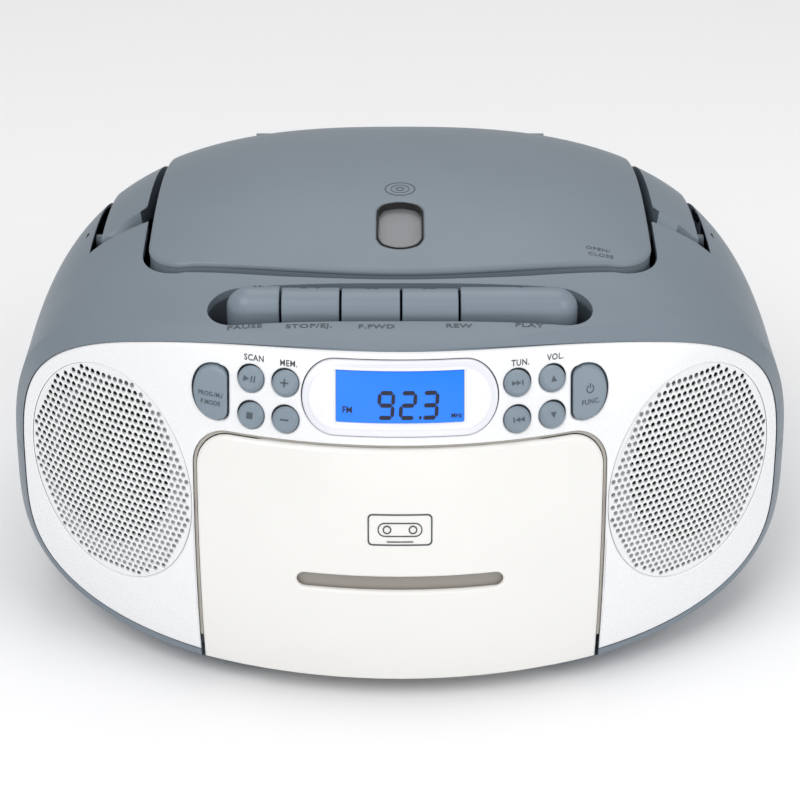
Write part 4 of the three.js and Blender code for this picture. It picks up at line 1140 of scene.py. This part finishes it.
class PLAYER_OT_tape_door(PieceOperator):
    """Make the tape door with its window slot, rim, hinge lugs and picture mark"""
    bl_idname = "player.tape_door"
    bl_label = "Tape door"

    def execute(self, context):
        outline = door_outline(DOOR_HALF, DOOR_TOP, DOOR_BOTTOM, DOOR_CORNER)
        inner = door_outline(DOOR_HALF - DOOR_WALL, DOOR_TOP - DOOR_WALL,
                             DOOR_BOTTOM + DOOR_WALL, DOOR_CORNER - DOOR_WALL)
        slot = stadium(0, SLOT_Z, SLOT_HALF, SLOT_R)
        face = plate(outline, -0.6, 1.9, on_front, holes=[slot], edge=self.settings.door_edge,
                     steps=4, grid=7)
        rim = plate(outline, 1.2, 7.5, on_front, holes=[inner], grid=7)
        rim = cut(rim, box(-80, 80, -98.6, 0, 60, 120),
                  both(lambda side: beside_middle(side, 39.4, 45.9, -105, -80, 0, 18)))
        lugs = both(lambda side: rod(DOOR_PIN_R, 9, (side * 47, *DOOR_PIVOT), (-side, 0, 0)))
        arms = both(lambda side: beside_middle(side, 46.4, 49.4, -107, -98, 10, 15))
        door = beside(face, rim, lugs, arms)
        place_piece("tape_door_shell", door, "tape_door", door_white(),
                    ["cassette_door"])
        # The sheet in the gap round the tape door is painted shade: its beige-grey stands for the
        # white door's shaded side walls.
        wide, narrow, foot = BAY_HALF - 0.2, DOOR_HALF + 0.25, 18
        outer = [(wide, foot)] + door_top(wide, BAY_TOP - 0.2, BAY_CORNER) + [(-wide, foot)]
        inner = ([(narrow, foot)] + door_top(narrow, DOOR_TOP + 0.25, DOOR_CORNER + 0.2)
                 + [(-narrow, foot)])
        gap_shade_sheet = plate(outer + inner[::-1], 1.2, 2.4, on_front)
        place_piece("door_gap_painted_shade", gap_shade_sheet, "case",
                    moulded("painted_gap_shade", srgb(176, 172, 164), 0.6, cloud=0.03, bump=0.02))
        window = plate(stadium(0, SLOT_Z, SLOT_HALF + 2, SLOT_R + 1.6), 1.95, 3.1, on_front,
                       edge=0.2)
        smoke = moulded("smoked_window", srgb(166, 160, 148), 0.22, cloud=0.05, bump=0.0,
                        coat=0.4)
        place_piece("slot_window", window, "tape_door", smoke, ["door_window"])
        mark_bm = self.cassette_mark()
        place_mark("cassette_mark", mark_bm, "tape_door", lettering())
        return {"FINISHED"}

    def cassette_mark(self):
        """A plain drawing of a tape cassette."""
        parts = []
        for outer, inner in (((-11, 11, -5.6, 5.6, 1.6), (-10.5, 10.5, -5.1, 5.1, 1.2)),
                             ((-7.6, 7.6, -2.4, 2.6, 2.4), (-7.2, 7.2, -2.0, 2.2, 2.0))):
            parts.append(plate(rounded(*outer), -0.05, 0.05, flat_up,
                               holes=[rounded(*inner)], grid=0))
        for u in (-4.4, 4.4):
            parts.append(plate(ellipse(u, 0.1, 1.5, 1.5, 32), -0.05, 0.05, flat_up,
                               holes=[ellipse(u, 0.1, 1.05, 1.05, 32)], grid=0))
        parts.append(bar_mark(9.0, 0.4, 0, -4.2))
        bm = beside(*parts)
        for at in range(-10, 11, 2):
            bmesh.ops.bisect_plane(bm, geom=everything(bm), dist=1e-5, plane_co=(at, 0, 0),
                                   plane_no=(1, 0, 0))
        return laid(bm, on_front, 0, 71, proud=0.66)


class PLAYER_OT_display(PieceOperator):
    """Make the display's clear capsule, its backlit glass and the numerals"""
    bl_idname = "player.display"
    bl_label = "Display"

    SEGMENTS = {"0": "abcdef", "1": "bc", "2": "abged", "3": "abgcd", "4": "fgbc", "5": "afgcd",
                "6": "afgedc", "7": "abc", "8": "abcdefg", "9": "abcdfg"}

    def numeral(self, digit, u, v, wide, high, thick):
        """One seven-segment figure."""
        w, h, t = wide / 2, high / 2, thick
        shapes = {
            "a": (0, h, w, 0), "g": (0, 0, w, 0), "d": (0, -h, w, 0),
            "b": (w, h / 2, 0, h / 2), "c": (w, -h / 2, 0, h / 2),
            "f": (-w, h / 2, 0, h / 2), "e": (-w, -h / 2, 0, h / 2)}
        parts = []
        for key in self.SEGMENTS[digit]:
            cu, cv, du, dv = shapes[key]
            if du:
                long = du - t * 0.12
                points = [(-long, 0), (-long + t / 2, -t / 2), (long - t / 2, -t / 2), (long, 0),
                          (long - t / 2, t / 2), (-long + t / 2, t / 2)]
            else:
                long = dv - t * 0.12
                points = [(0, -long), (t / 2, -long + t / 2), (t / 2, long - t / 2), (0, long),
                          (-t / 2, long - t / 2), (-t / 2, -long + t / 2)]
            lean = 0.07
            parts.append(mark([(u + cu + x + (cv + y) * lean, v + cv + y) for x, y in points]))
        return parts

    def execute(self, context):
        opening = rounded(-22.4, 22.4, 105.0, 122.2, 1.0)
        ring = plate(stadium(0, DISPLAY_Z, DISPLAY_HALF, DISPLAY_R), -0.5, 1.5, on_front,
                     holes=[rounded(-21.5, 21.5, 105.9, 121.3, 0.4)], edge=0.6, steps=3, grid=5)
        clear = moulded("capsule_white", srgb(228, 229, 236), 0.16, cloud=0.01, bump=0.0,
                        coat=0.5)
        place_piece("display_capsule", ring, "case", clear, ["display_lens"])
        inlay = plate(stadium(0, DISPLAY_Z, DISPLAY_HALF - 2.3, DISPLAY_R - 2.3), -0.72, -0.3,
                      on_front, holes=[opening], edge=0.18, grid=5)
        place_piece("display_inlay", inlay, "case",
                    moulded("inlay_white", srgb(238, 237, 243), 0.2, cloud=0.008, bump=0.0,
                            coat=0.4))
        glass = plate(rounded(-21.45, 21.45, 105.95, 121.25, 0.4), -0.35, 2.6, on_front, grid=5)
        blue = backlit_lcd("blue_lcd", self.settings.display_colour)
        place_piece("lcd_glass", glass, "case", blue, ["lcd_module"])
        ink = moulded("lcd_ink", srgb(6, 12, 44), 0.5, cloud=0.02, bump=0.0)
        parts = []
        u = -10.4
        for character in self.settings.readout:
            if character == ".":
                parts.append(bar_mark(0.8, 0.9, u - 3.3, -3.7))
            else:
                parts += self.numeral(character, u, 0, 4.6, 7.4, 1.2)
                u += 7.4
        numerals = laid(beside(*parts), on_front, 5.7, 111.3, proud=0.42)
        place_mark("lcd_numerals", numerals, "case", ink)
        for text, size, at_u, at_v in (("FM", 2.8, -17.7, 109.6), ("MHz", 1.9, 19.0, 107.9)):
            bm = laid(text_outline(text, size, 0.03, bold=0.03), on_front, at_u, at_v, proud=0.42)
            place_mark(f"lcd_{text.lower()}", bm, "case", ink)
        return {"FINISHED"}


class PLAYER_OT_buttons(PieceOperator):
    """Make the eight round buttons and the two D-shaped ones, with their marks"""
    bl_idname = "player.buttons"
    bl_label = "Buttons"

    NAMES = (("play_pause_button", "stop_button"), ("memory_up_button", "memory_down_button"),
             ("tune_up_button", "tune_down_button"), ("volume_up_button", "volume_down_button"))

    def symbol(self, name):
        marks = {
            "play_pause_button": lambda: [arrow_mark(2.1, "right", -1.1), bar_mark(0.5, 2.1, 0.7),
                                          bar_mark(0.5, 2.1, 1.8)],
            "stop_button": lambda: [bar_mark(2.2, 2.2)],
            "memory_up_button": lambda: [bar_mark(2.9, 0.55), bar_mark(0.55, 2.9)],
            "memory_down_button": lambda: [bar_mark(2.9, 0.6)],
            "tune_up_button": lambda: [
                arrow_mark(1.7, "right", -1.4), arrow_mark(1.7, "right", 0.2),
                bar_mark(0.45, 1.8, 1.5)],
            "tune_down_button": lambda: [
                arrow_mark(1.7, "left", 1.4), arrow_mark(1.7, "left", -0.2),
                bar_mark(0.45, 1.8, -1.5)],
            "volume_up_button": lambda: [arrow_mark(2.1, "up")],
            "volume_down_button": lambda: [arrow_mark(2.1, "down")],
        }
        parts = marks[name]()
        return beside(*parts) if len(parts) > 1 else parts[0]

    def execute(self, context):
        profile = eased([(0, -1.6), (3.2, -1.6), (3.5, -1.6), (BUTTON_R, -0.6), (BUTTON_R, 3.9),
                         (5.9, 3.9), (5.9, 5.1), (0, 5.1)], 0.3)
        ink = moulded("button_ink", srgb(72, 82, 90), 0.5, cloud=0.03, bump=0.0)
        for x, column in zip(BUTTON_X, self.NAMES):
            for z, name in zip(BUTTON_Z, column):
                inward = -front_normal(x, z)
                button = turned(profile, (x, front_at(x, z), z), inward, 48)
                place_piece(f"{name}_cap", button, name, button_paint(),
                            [name])
                flat = facing((x, front_at(x, z), z), front_normal(x, z))
                symbol = laid(self.symbol(name), flat, 0, 0, proud=1.63)
                place_mark(f"{name}_symbol", symbol, name, ink)
        for name, side in (("mode_button", -1), ("function_button", 1)):
            cap = plate(d_outline(side, 0), -1.4, 4.6, on_front, edge=0.8, steps=3, grid=4)
            flange = plate(d_outline(side, 1.1), 3.9, 5.1, on_front, grid=4)
            place_piece(f"{name}_cap", beside(cap, flange), name, button_paint(),
                        [name])
        rows = (("PROG./M./", -64.4, 110.0), ("P.MODE", -64.4, 107.4))
        parts = [laid(text_outline(text, 1.9, 0.03, 1.02, bold=0.02), on_front, x, z, proud=1.48)
                 for text, x, z in rows]
        place_mark("mode_lettering", beside(*parts), "mode_button", ink)
        word = laid(text_outline("FUNC.", 2.1, 0.03, 1.05, bold=0.03), on_front, 64.8, 107.6,
                    proud=1.48)
        ring = plate([(1.35 * cos(a), 1.35 * sin(a)) for a in
                      [radians(120 + i * 300 / 24) for i in range(25)]]
                     + [(1.0 * cos(a), 1.0 * sin(a)) for a in
                        [radians(420 - i * 300 / 24) for i in range(25)]],
                     -0.05, 0.05, flat_up, grid=0)
        power = laid(beside(ring, bar_mark(0.34, 1.5, 0, 0.9)), on_front, 64.6, 111.6, proud=1.48)
        place_mark("function_lettering", beside(word, power), "function_button", ink)
        return {"FINISHED"}


class PLAYER_OT_keys(PieceOperator):
    """Make the five half-round tape keys with their marks and the lettering in front"""
    bl_idname = "player.keys"
    bl_label = "Tape keys"

    def cap(self, x0, x1, y, first, last):
        """A half-round key, its outer end drawn in to a blunt nose on the first and last."""
        profile = [(y + KEY_R * cos(i * pi / 24), KEY_Z + KEY_R * 0.95 * sin(i * pi / 24))
                   for i in range(25)]
        profile += [(y - KEY_R, KEY_FOOT_Z), (y + KEY_R, KEY_FOOT_Z)]
        bm = plate(profile, -x1, -x0, lambda u, v, depth: (-depth, u, v), edge=0.45, steps=3,
                   grid=0)
        if first or last:
            tip, way = (x0, 1) if first else (x1, -1)
            for i in range(14):
                reach = KEY_R * 1.15 * (1 - cos(i * pi / 26))
                bmesh.ops.bisect_plane(bm, geom=everything(bm), dist=1e-5,
                                       plane_co=(tip + way * (reach + 0.02), 0, 0),
                                       plane_no=(1, 0, 0))
            for vert in bm.verts:
                share = min(max(way * (vert.co.x - tip) / (KEY_R * 1.15), 0), 1)
                narrow = max(sqrt(1 - (1 - share) ** 2), 0.1)
                vert.co.y = y + (vert.co.y - y) * narrow
                if vert.co.z > KEY_FOOT_Z + 1:
                    drop = 0.62 + 0.38 * narrow
                    vert.co.z = KEY_FOOT_Z + (vert.co.z - KEY_FOOT_Z) * drop
            bmesh.ops.recalc_face_normals(bm, faces=bm.faces)
        return bm

    def symbol(self, name):
        marks = {
            "pause_key": lambda: [bar_mark(0.8, 2.2, -0.9), bar_mark(0.8, 2.2, 0.9)],
            "stop_eject_key": lambda: [bar_mark(2.2, 2.0, -2.4), arrow_mark(2.2, "up", 2.2, 0.5),
                                       bar_mark(2.4, 0.5, 2.2, -0.9)],
            "fast_forward_key": lambda: [arrow_mark(2.2, "left", u) for u in (-1.3, 1.3)],
            "rewind_key": lambda: [arrow_mark(2.2, "right", u) for u in (-1.3, 1.3)],
            "play_key": lambda: [arrow_mark(2.4, "left")],
        }
        parts = marks[name]()
        return beside(*parts) if len(parts) > 1 else parts[0]

    def execute(self, context):
        ink = deck_lettering()
        words = {"pause_key": "PAUSE", "stop_eject_key": "STOP/EJ.", "fast_forward_key": "F.FWD",
                 "rewind_key": "REW", "play_key": "PLAY"}
        spots = {"pause_key": (-53, -76.3), "stop_eject_key": (-31, -77.3),
                 "fast_forward_key": (-8, -78), "rewind_key": (20, -77.5),
                 "play_key": (44, -76.3)}
        for i, (name, x0, x1) in enumerate(KEY_SPANS):
            middle = (x0 + x1) / 2
            y = KEY_Y + middle * middle / KEY_BOW
            cap = self.cap(x0, x1, y, i == 0, i == len(KEY_SPANS) - 1)
            pivot_y, pivot_z = KEY_PIVOT
            left, right = middle - KEY_LEVER, middle + KEY_LEVER
            lever = joined(box(left, right, y, pivot_y, pivot_z - 2.5, pivot_z + 2.5),
                           box(left, right, y - KEY_LEVER, y + KEY_LEVER, pivot_z - 2.4,
                               KEY_FOOT_Z - 0.1),
                           rod(KEY_HUB_R, 2 * KEY_LEVER, (left, *KEY_PIVOT), (1, 0, 0), 32))
            place_piece(f"{name}_cap", beside(cap, lever), name, key_paint(),
                        [name])
            shift = 1.5 if name == "pause_key" else 0.0

            def on_key(u, v, depth, y=y):
                lean = radians(69)
                across = KEY_R + 0.1 - depth
                angle = lean + v / KEY_R
                return u, y + across * cos(angle), KEY_Z + 0.95 * across * sin(angle)

            symbol = laid(self.symbol(name), on_key, middle + shift, 0.0, proud=0.05)
            place_mark(f"{name}_symbol", symbol, name, ink)
            u, v = spots[name]
            word = laid(text_outline(words[name], 2.9, 0.03, 1.08, bold=0.05), on_top, u, v,
                        proud=0.1, wide=1.4)
            place_mark(f"label_{name}", word, "case", ink)
        return {"FINISHED"}


class PLAYER_OT_disc_lid(PieceOperator):
    """Make the disc lid with its clear window, disc mark and lettering"""
    bl_idname = "player.disc_lid"
    bl_label = "Disc lid"

    def execute(self, context):
        edge = self.settings.lid_edge
        window = lens_outline(0)
        top = plate(lid_outline(0), 0, LID_T, on_lid, holes=[window], edge=edge, steps=4, grid=6)
        skirt = plate(lid_outline(-0.25), 1.4, 6.6, on_lid, holes=[lid_outline(-2.2)], grid=6)
        skirt = cut(skirt, box(-100, 100, 70, 130, 90, 160))
        arms = both(lambda side: joined(
            beside_middle(side, 44, 58, LID_PIVOT[0] - 5, LID_PIVOT[0], 128.5, 133),
            rod(LID_PIN_R, 14, (side * 44, *LID_PIVOT), (side, 0, 0), 32)))
        hub = turned([(14.2, 0), (17, 0), (17, 5), (14.2, 5), (14.2, 0)], (0, DISC_Y, 140.4),
                     (0, 0, 1), 64)
        place_piece("lid_shell", beside(top, skirt, arms, hub), "disc_lid", shell_paint(),
                    ["cd_lid"])
        lens = plate(lens_outline(1.4), 2.7, 4.0, on_lid, edge=0.2, grid=3)
        place_piece("lid_lens", lens, "disc_lid",
                    clear_plastic("clear_lens", srgb(224, 222, 220), 0.08, 0.85),
                    ["cd_lid_window"])
        seal = plate(lens_outline(-0.06), 0.25, 2.6, on_lid, holes=[lens_outline(-0.5)], grid=3)
        place_piece("window_seal", seal, "disc_lid", black_rubber(),
                    weighted=False)
        ink = deck_lettering()
        parts = [
            plate(ellipse(0, 0, 5.6, 4.6, 64), -0.04, 0.04, flat_up,
                  holes=[ellipse(0, 0, 5.2, 4.2, 64)], grid=0),
            plate(ellipse(0, 0, 1.5, 1.25, 32), -0.04, 0.04, flat_up,
                  holes=[ellipse(0, 0, 1.1, 0.9, 32)], grid=0),
            plate(ellipse(0, 0, 3.4, 2.8, 48), -0.04, 0.04, flat_up,
                  holes=[ellipse(0, 0, 3.15, 2.55, 48)], grid=0)]
        symbol = laid(beside(*parts), on_lid, 0, -5.5, proud=0.05)
        place_mark("disc_mark", symbol, "disc_lid", ink)
        words = beside(
            laid(text_outline("OPEN/", 2.3, 0.02, 1.1, bold=0.03), on_lid, 70.4, -34.2, proud=0.07,
                 wide=1.25),
            laid(text_outline("CLOSE", 2.3, 0.02, 1.1, bold=0.03), on_lid, 71.2, -37.2, proud=0.07,
                 wide=1.25))
        place_mark("lid_lettering", words, "disc_lid", ink)
        return {"FINISHED"}


class PLAYER_OT_disc_drive(PieceOperator):
    """Make the disc tray, turntable, clamp and the disc itself"""
    bl_idname = "player.disc_drive"
    bl_label = "Disc drive"

    def execute(self, context):
        tray = prism(lid_outline(0.6), "Z", 121.4, WELL_Z)
        tray = common(tray, body(inset=8, bevel=0, around=96, along=12))
        pocket = turned([(0, 0), (DISC_POCKET_R - 1, 0), (DISC_POCKET_R, 0.8),
                         (DISC_POCKET_R, 4.2), (DISC_POCKET_R + 0.8, 5.2), (0, 5.2)],
                        (0, DISC_Y, DISC_Z), (0, 0, 1), 128)
        tray = cut(tray, pocket, rod(18, 20, (0, DISC_Y, 110), (0, 0, 1), 64),
                   prism(rounded(-9, 9, DISC_Y - 56, DISC_Y - 10, 3), "Z", 110, 130),
                   box(-70, 70, -56, -36, 110, 125))
        place_piece("disc_tray", tray, "case",
                    moulded("tray_plastic", srgb(112, 126, 138), 0.5, cloud=0.03, bump=0.05),
                    ["cd_well"])
        spindle = turned(eased([(0, 125.2), (15, 125.2), (15, 126.8), (7.2, 126.8), (6.6, 129),
                                (0, 129)], 0.35), (0, DISC_Y, 0), (0, 0, 1), 64)
        place_piece("disc_spindle", spindle, "turntable", black_plastic(),
                    ["cd_turntable"])
        disc = turned(eased([(7.5, 126.95), (60, 126.95), (60, 128.1), (7.5, 128.1),
                             (7.5, 126.95)], 0.15), (0, DISC_Y, 0), (0, 0, 1), 128)
        place_piece("loaded_disc", disc, "turntable", silver_with_painted_sheen("silver_with_painted_sheen"))
        clamp = turned(eased([(0, 133.2), (12.8, 133.2), (13.6, 135), (13.6, 137), (0, 137)], 0.4),
                       (0, DISC_Y, 0), (0, 0, 1), 64)
        place_piece("clamp_puck", clamp, "disc_clamp", black_plastic(),
                    ["disc_clamp"])
        return {"FINISHED"}


class PLAYER_OT_handle(PieceOperator):
    """Make the carrying handle, folded down over the back"""
    bl_idname = "player.handle"
    bl_label = "Handle"

    def execute(self, context):
        around = self.settings.body_sides
        curve = cut(body(inset=-0.6, back=-0.1, bevel=0, around=around, along=40),
                    body(inset=HANDLE_T, back=HANDLE_T, bevel=0, around=96, along=20))
        arms = both(lambda side: beside_middle(side, HANDLE_IN, HANDLE_OUT, HANDLE_FRONT_Y, 130,
                                               HANDLE_LOW, 170))
        bar = box(-HANDLE_IN - 1, HANDLE_IN + 1, HANDLE_BAR_Y, 130, HANDLE_LOW, 170)
        arch = common(joined(arms, bar), curve)

        def wedge(side):
            bm = box(-12, 12, -12, 0, -30, 30)
            bmesh.ops.rotate(bm, verts=bm.verts, cent=(0, 0, 0),
                             matrix=Matrix.Rotation(radians(-48), 3, "X"))
            bmesh.ops.translate(bm, vec=(side * 102.5, HANDLE_FRONT_Y + 1.5, 129), verts=bm.verts)
            return bm

        arch = cut(arch, both(wedge))
        bosses = both(lambda side: rod(HANDLE_BOSS_R, HANDLE_OUT - HANDLE_IN,
                                       (side * HANDLE_IN, *HANDLE_PIVOT), (side, 0, 0)))
        pins = both(lambda side: rod(HANDLE_PIN_R, HANDLE_OUT - HANDLE_IN + 6,
                                     (side * HANDLE_IN, *HANDLE_PIVOT), (side, 0, 0)))
        handle = largest(joined(arch, bosses, pins))
        place_piece("carrying_handle", handle, "handle", shell_paint(),
                    ["carry_handle"], weighted=False)
        return {"FINISHED"}


class PLAYER_OT_back(PieceOperator):
    """Make the battery door, the mains inlet, the telescopic aerial and the feet"""
    bl_idname = "player.back"
    bl_label = "Back and feet"

    def execute(self, context):
        around = self.settings.body_sides
        half, mouth, top = BATTERY["half"], BATTERY["mouth"], BATTERY["top"]
        leaf = common(cut(body(around=around), body(back=3, around=96, along=12)),
                      box(-half - 2, half + 2, 90, 130, mouth, top - 0.4))
        grooves = [box(-9 + i * 3, -7.8 + i * 3, 90, 130, top - 13, top - 5) for i in range(7)]
        shallow = cut(beside(*grooves), body(back=0.7, around=96, along=12))
        leaf = cut(leaf, shallow)
        barrel = rod(BATTERY_PIN_R, 2 * half - 8, (-half + 4, *BATTERY_PIVOT), (1, 0, 0))
        latch = box(-9, 9, 110.5, 113.5, top - 7, top - 0.4)
        place_piece("battery_cover", beside(largest(leaf), barrel, latch), "battery_door",
                    shell_paint(), ["battery_door"], weighted=False)
        inlet = plate(rounded(67, 91, 23, 39, 1.2), -110.6, -90,
                      lambda u, v, depth: (u, -depth, v), edge=0.3, grid=0)
        inlet = cut(inlet, prism(stadium(79, 31, 8.6, 4.6), "Y", 98, 120))
        pins = [turned(eased([(0, 0), (1.1, 0), (1.1, 12), (0, 12)], 0.5), (x, 97, 31), (0, 1, 0),
                       24) for x in (75, 83)]
        place_piece("inlet_socket", inlet, "case", black_plastic(),
                    ["mains_inlet"])
        place_piece("inlet_pins", beside(*pins), "case", zinc_steel())
        for name, x, y in FEET:
            foot = turned(eased([(0, 0), (5.2, 0), (6, 0.8), (6, 4.6), (0, 4.6)], 0.5),
                          (x, y, 0), (0, 0, 1), 48)
            place_piece(f"{name}_pad", foot, "case", black_rubber(), [name])
        self.aerial()
        self.screws()
        return {"FINISHED"}

    def aerial(self):
        x, y, z = ANTENNA_X, ANTENNA_Y, ANTENNA_Z
        barrel = turned(eased([(0, 0), (3.6, 0), (3.6, 8), (0, 8)], 0.5), (x - 16, y, z),
                        (1, 0, 0))
        fork = cut(box(x - 9, x + 3, y - 3, y + 3, z - 3.4, z + 3.4),
                   box(x - 5, x + 4, y - 4, y + 4, z - 1.7, z + 1.7))
        pin = rod(1, 6, (x, y, z - 3), (0, 0, 1), 24)
        place_piece("aerial_knuckle", joined(barrel, fork, pin), "antenna_base",
                    black_plastic(), ["antenna_base"])
        eye = cut(joined(rod(2.6, 2.6, (x, y, z - 1.3), (0, 0, 1)),
                         box(x, x + 7, y - 1.6, y + 1.6, z - 1.3, z + 1.3)),
                  rod(1.35, 8, (x, y, z - 4), (0, 0, 1), 24))
        tube = turned(eased([(2.2, 0), (3, 0), (3, ANTENNA_L), (2.2, ANTENNA_L), (2.2, 0)], 0.3),
                      (x + 6.5, y, z), (1, 0, 0))
        collar = turned(eased([(0, 0), (3, 0), (3, 2), (0, 2)], 0.4), (x + 5.6, y, z), (1, 0, 0))
        place_piece("aerial_tube", beside(eye, tube, collar), "antenna_tube", chromed_tube(),
                    ["antenna_tube"])
        inner = turned(eased([(0, 0), (1.8, 0), (1.8, ANTENNA_L), (0, ANTENNA_L)], 0.2),
                       (x + 9, y, z), (1, 0, 0), 32)
        tip = turned(eased([(0, 0), (2.4, 0), (2.8, 0.8), (2.8, 5.2), (2.0, 6), (0, 6)], 0.4),
                     (x + 7.5 + ANTENNA_L, y, z), (1, 0, 0))
        place_piece("aerial_rod", beside(inner, tip), "antenna_rod", chromed_tube(),
                    ["antenna_rod"])

    def screws(self):
        """Sunk cross-head screws in the back."""
        parts = []
        for x, z in ((-112, 30), (112, 52), (-112, 100), (112, 100)):
            head = turned(eased([(0, 0.35), (0.9, 0.35), (2.6, 0.1), (2.9, 0.6), (2.9, 1.6),
                                 (0, 1.6)], 0.2), (x, 0, z), (0, -1, 0), 32)
            for vert in head.verts:
                vert.co.y += self.skin_y(x, z) + 0.25
            parts.append(head)
        place_piece("back_screws", beside(*parts), "case", zinc_steel())

    def skin_y(self, x, z):
        """Where the rounded back lies at x and z."""
        low, high = 60.0, BACK_Y
        for _ in range(24):
            middle = (low + high) / 2
            low, high = (middle, high) if self.within(x, middle, z) else (low, middle)
        return low

    def within(self, x, y, z):
        start = back_at(x, z) - BACK_ROUND
        shrink = 0
        if y > start:
            ease = (y - start) / BACK_ROUND
            if ease >= 1:
                return False
            shrink = BACK_ROUND * (1 - sqrt(1 - ease * ease))
        top = z >= MID_Z
        power = upper_power(y) if top else LOWER_POWER
        height = (top_line(y) - MID_Z if top else MID_Z - BASE_Z) - shrink
        return (abs(x) / (half_width(y) - shrink)) ** power + (abs(z - MID_Z) / height) ** power < 1


class PLAYER_OT_tape_drive(PieceOperator):
    """Make the turned parts of the tape drive"""
    bl_idname = "player.tape_drive"
    bl_label = "Tape drive"

    def execute(self, context):
        forward = (0, -1, 0)
        for name, side in (("left", -1), ("right", 1)):
            shaft = turned(eased([(0, 0), (8, 0), (8, 2), (2.9, 2), (2.9, 6.4), (9, 6.4), (9, 9),
                                  (2.9, 9), (2.9, 18), (1.4, 20.5), (0, 20.5)], 0.3),
                           (side * REEL_X, CHASSIS_Y + 6, REEL_Z), forward, 48)
            teeth = []
            for angle in (0, 120, 240):
                tooth = box(-0.7, 0.7, CHASSIS_Y - 11, CHASSIS_Y - 2, 2, 4.2)
                bmesh.ops.rotate(tooth, verts=tooth.verts, cent=(0, 0, 0),
                                 matrix=Matrix.Rotation(radians(angle), 3, "Y"))
                bmesh.ops.translate(tooth, vec=(side * REEL_X, 0, REEL_Z), verts=tooth.verts)
                teeth.append(tooth)
            place_piece(f"{name}_spool", beside(shaft, *teeth), f"{name}_reel", black_plastic(),
                        [f"{name}_reel"])
        wheel = turned(eased([(0, 0), (FLYWHEEL_R, 0), (FLYWHEEL_R, 4.6), (4, 4.6), (4, 6.6),
                              (1.1, 6.6), (1.1, 31), (0, 31)], 0.3),
                       (CAPSTAN_X, BELT_Y + 2.3, CAPSTAN_Z), forward, 64)
        brass = ringed("wheel_brass", srgb(186, 152, 86), srgb(212, 180, 112),
                       (CAPSTAN_X, BELT_Y, CAPSTAN_Z), 9000, 0.28, 1.0)
        place_piece("brass_flywheel", wheel, "flywheel", brass,
                    ["capstan_flywheel"])
        pulley = turned(eased([(1.35, 0), (PULLEY_R, 0), (PULLEY_R, 5), (1.35, 5), (1.35, 0)],
                              0.2), (MOTOR_X, BELT_Y + 2.5, MOTOR_Z), forward, 48)
        place_piece("brass_pulley", pulley, "motor_pulley", turned_brass(),
                    ["motor_pulley"])
        motor = turned(eased([(0, 0), (14, 0), (14, 16), (4, 16), (4, 17.4), (1, 17.4), (1, 24),
                              (0, 24)], 0.5), (MOTOR_X, BELT_Y + 21.5, MOTOR_Z), forward, 64)
        place_piece("drive_motor", motor, "case", zinc_steel(), ["tape_motor"])
        roller = turned(eased([(1.3, 0), (ROLLER_R, 0), (ROLLER_R, 9), (1.3, 9), (1.3, 0)], 0.4),
                        (CAPSTAN_X, CHASSIS_Y - 12.5, ROLLER_Z), (0, 1, 0), 48)
        place_piece("rubber_roller", roller, "pinch_roller", black_rubber(),
                    ["pinch_roller"])
        return {"FINISHED"}


class PLAYER_OT_carried_over(PieceOperator):
    """Give the solid model's own parts their finishes"""
    bl_idname = "player.carried_over"
    bl_label = "Inner parts"

    def execute(self, context):
        finishes = {
            "cassette_holder": black_plastic, "control_board": printed_board,
            "main_board": printed_board, "cd_drive_frame": zinc_steel, "laser_sled": black_plastic,
            "cassette_chassis": zinc_steel, "head_base": zinc_steel, "drive_belt": black_rubber,
            "power_transformer": zinc_steel, "battery_contacts": zinc_steel,
        }
        for name, finish in finishes.items():
            material = finish("circuit_board") if finish is printed_board else finish()
            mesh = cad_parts[name].data
            mesh.materials.clear()
            mesh.materials.append(material)
        return {"FINISHED"}


class PLAYER_PT_panel(bpy.types.Panel):
    """Lists the pieces and their sizes in the 3D view's sidebar"""
    bl_label = "Cassette Player"
    bl_idname = "PLAYER_PT_panel"
    bl_space_type = "VIEW_3D"
    bl_region_type = "UI"
    bl_category = "Cassette Player"

    def draw(self, context):
        layout = self.layout
        for settings in (context.scene.player_settings, context.scene.stage_settings):
            column = layout.column(align=True)
            for name in settings.bl_rna.properties.keys():
                if name not in ("rna_type", "name"):
                    column.prop(settings, name)
        column = layout.column(align=True)
        for operator in OPERATORS:
            column.operator(operator.bl_idname)


OPERATORS = (
    PLAYER_OT_stage, PLAYER_OT_top_shell, PLAYER_OT_bottom_shell, PLAYER_OT_front_panel,
    PLAYER_OT_grilles, PLAYER_OT_tape_door, PLAYER_OT_display, PLAYER_OT_buttons,
    PLAYER_OT_keys, PLAYER_OT_disc_lid, PLAYER_OT_disc_drive, PLAYER_OT_handle, PLAYER_OT_back,
    PLAYER_OT_tape_drive, PLAYER_OT_carried_over,
)
CLASSES = (PlayerSettings, StageSettings, *OPERATORS, PLAYER_PT_panel)


def register():
    for cls in CLASSES:
        bpy.utils.register_class(cls)
    bpy.types.Scene.player_settings = PointerProperty(type=PlayerSettings)
    bpy.types.Scene.stage_settings = PointerProperty(type=StageSettings)


def unregister():
    del bpy.types.Scene.stage_settings
    del bpy.types.Scene.player_settings
    for cls in reversed(CLASSES):
        bpy.utils.unregister_class(cls)


def main():
    register()
    for operator in OPERATORS:
        group, name = operator.bl_idname.split(".")
        getattr(getattr(bpy.ops, group), name)()


if __name__ == "__main__":
    main()
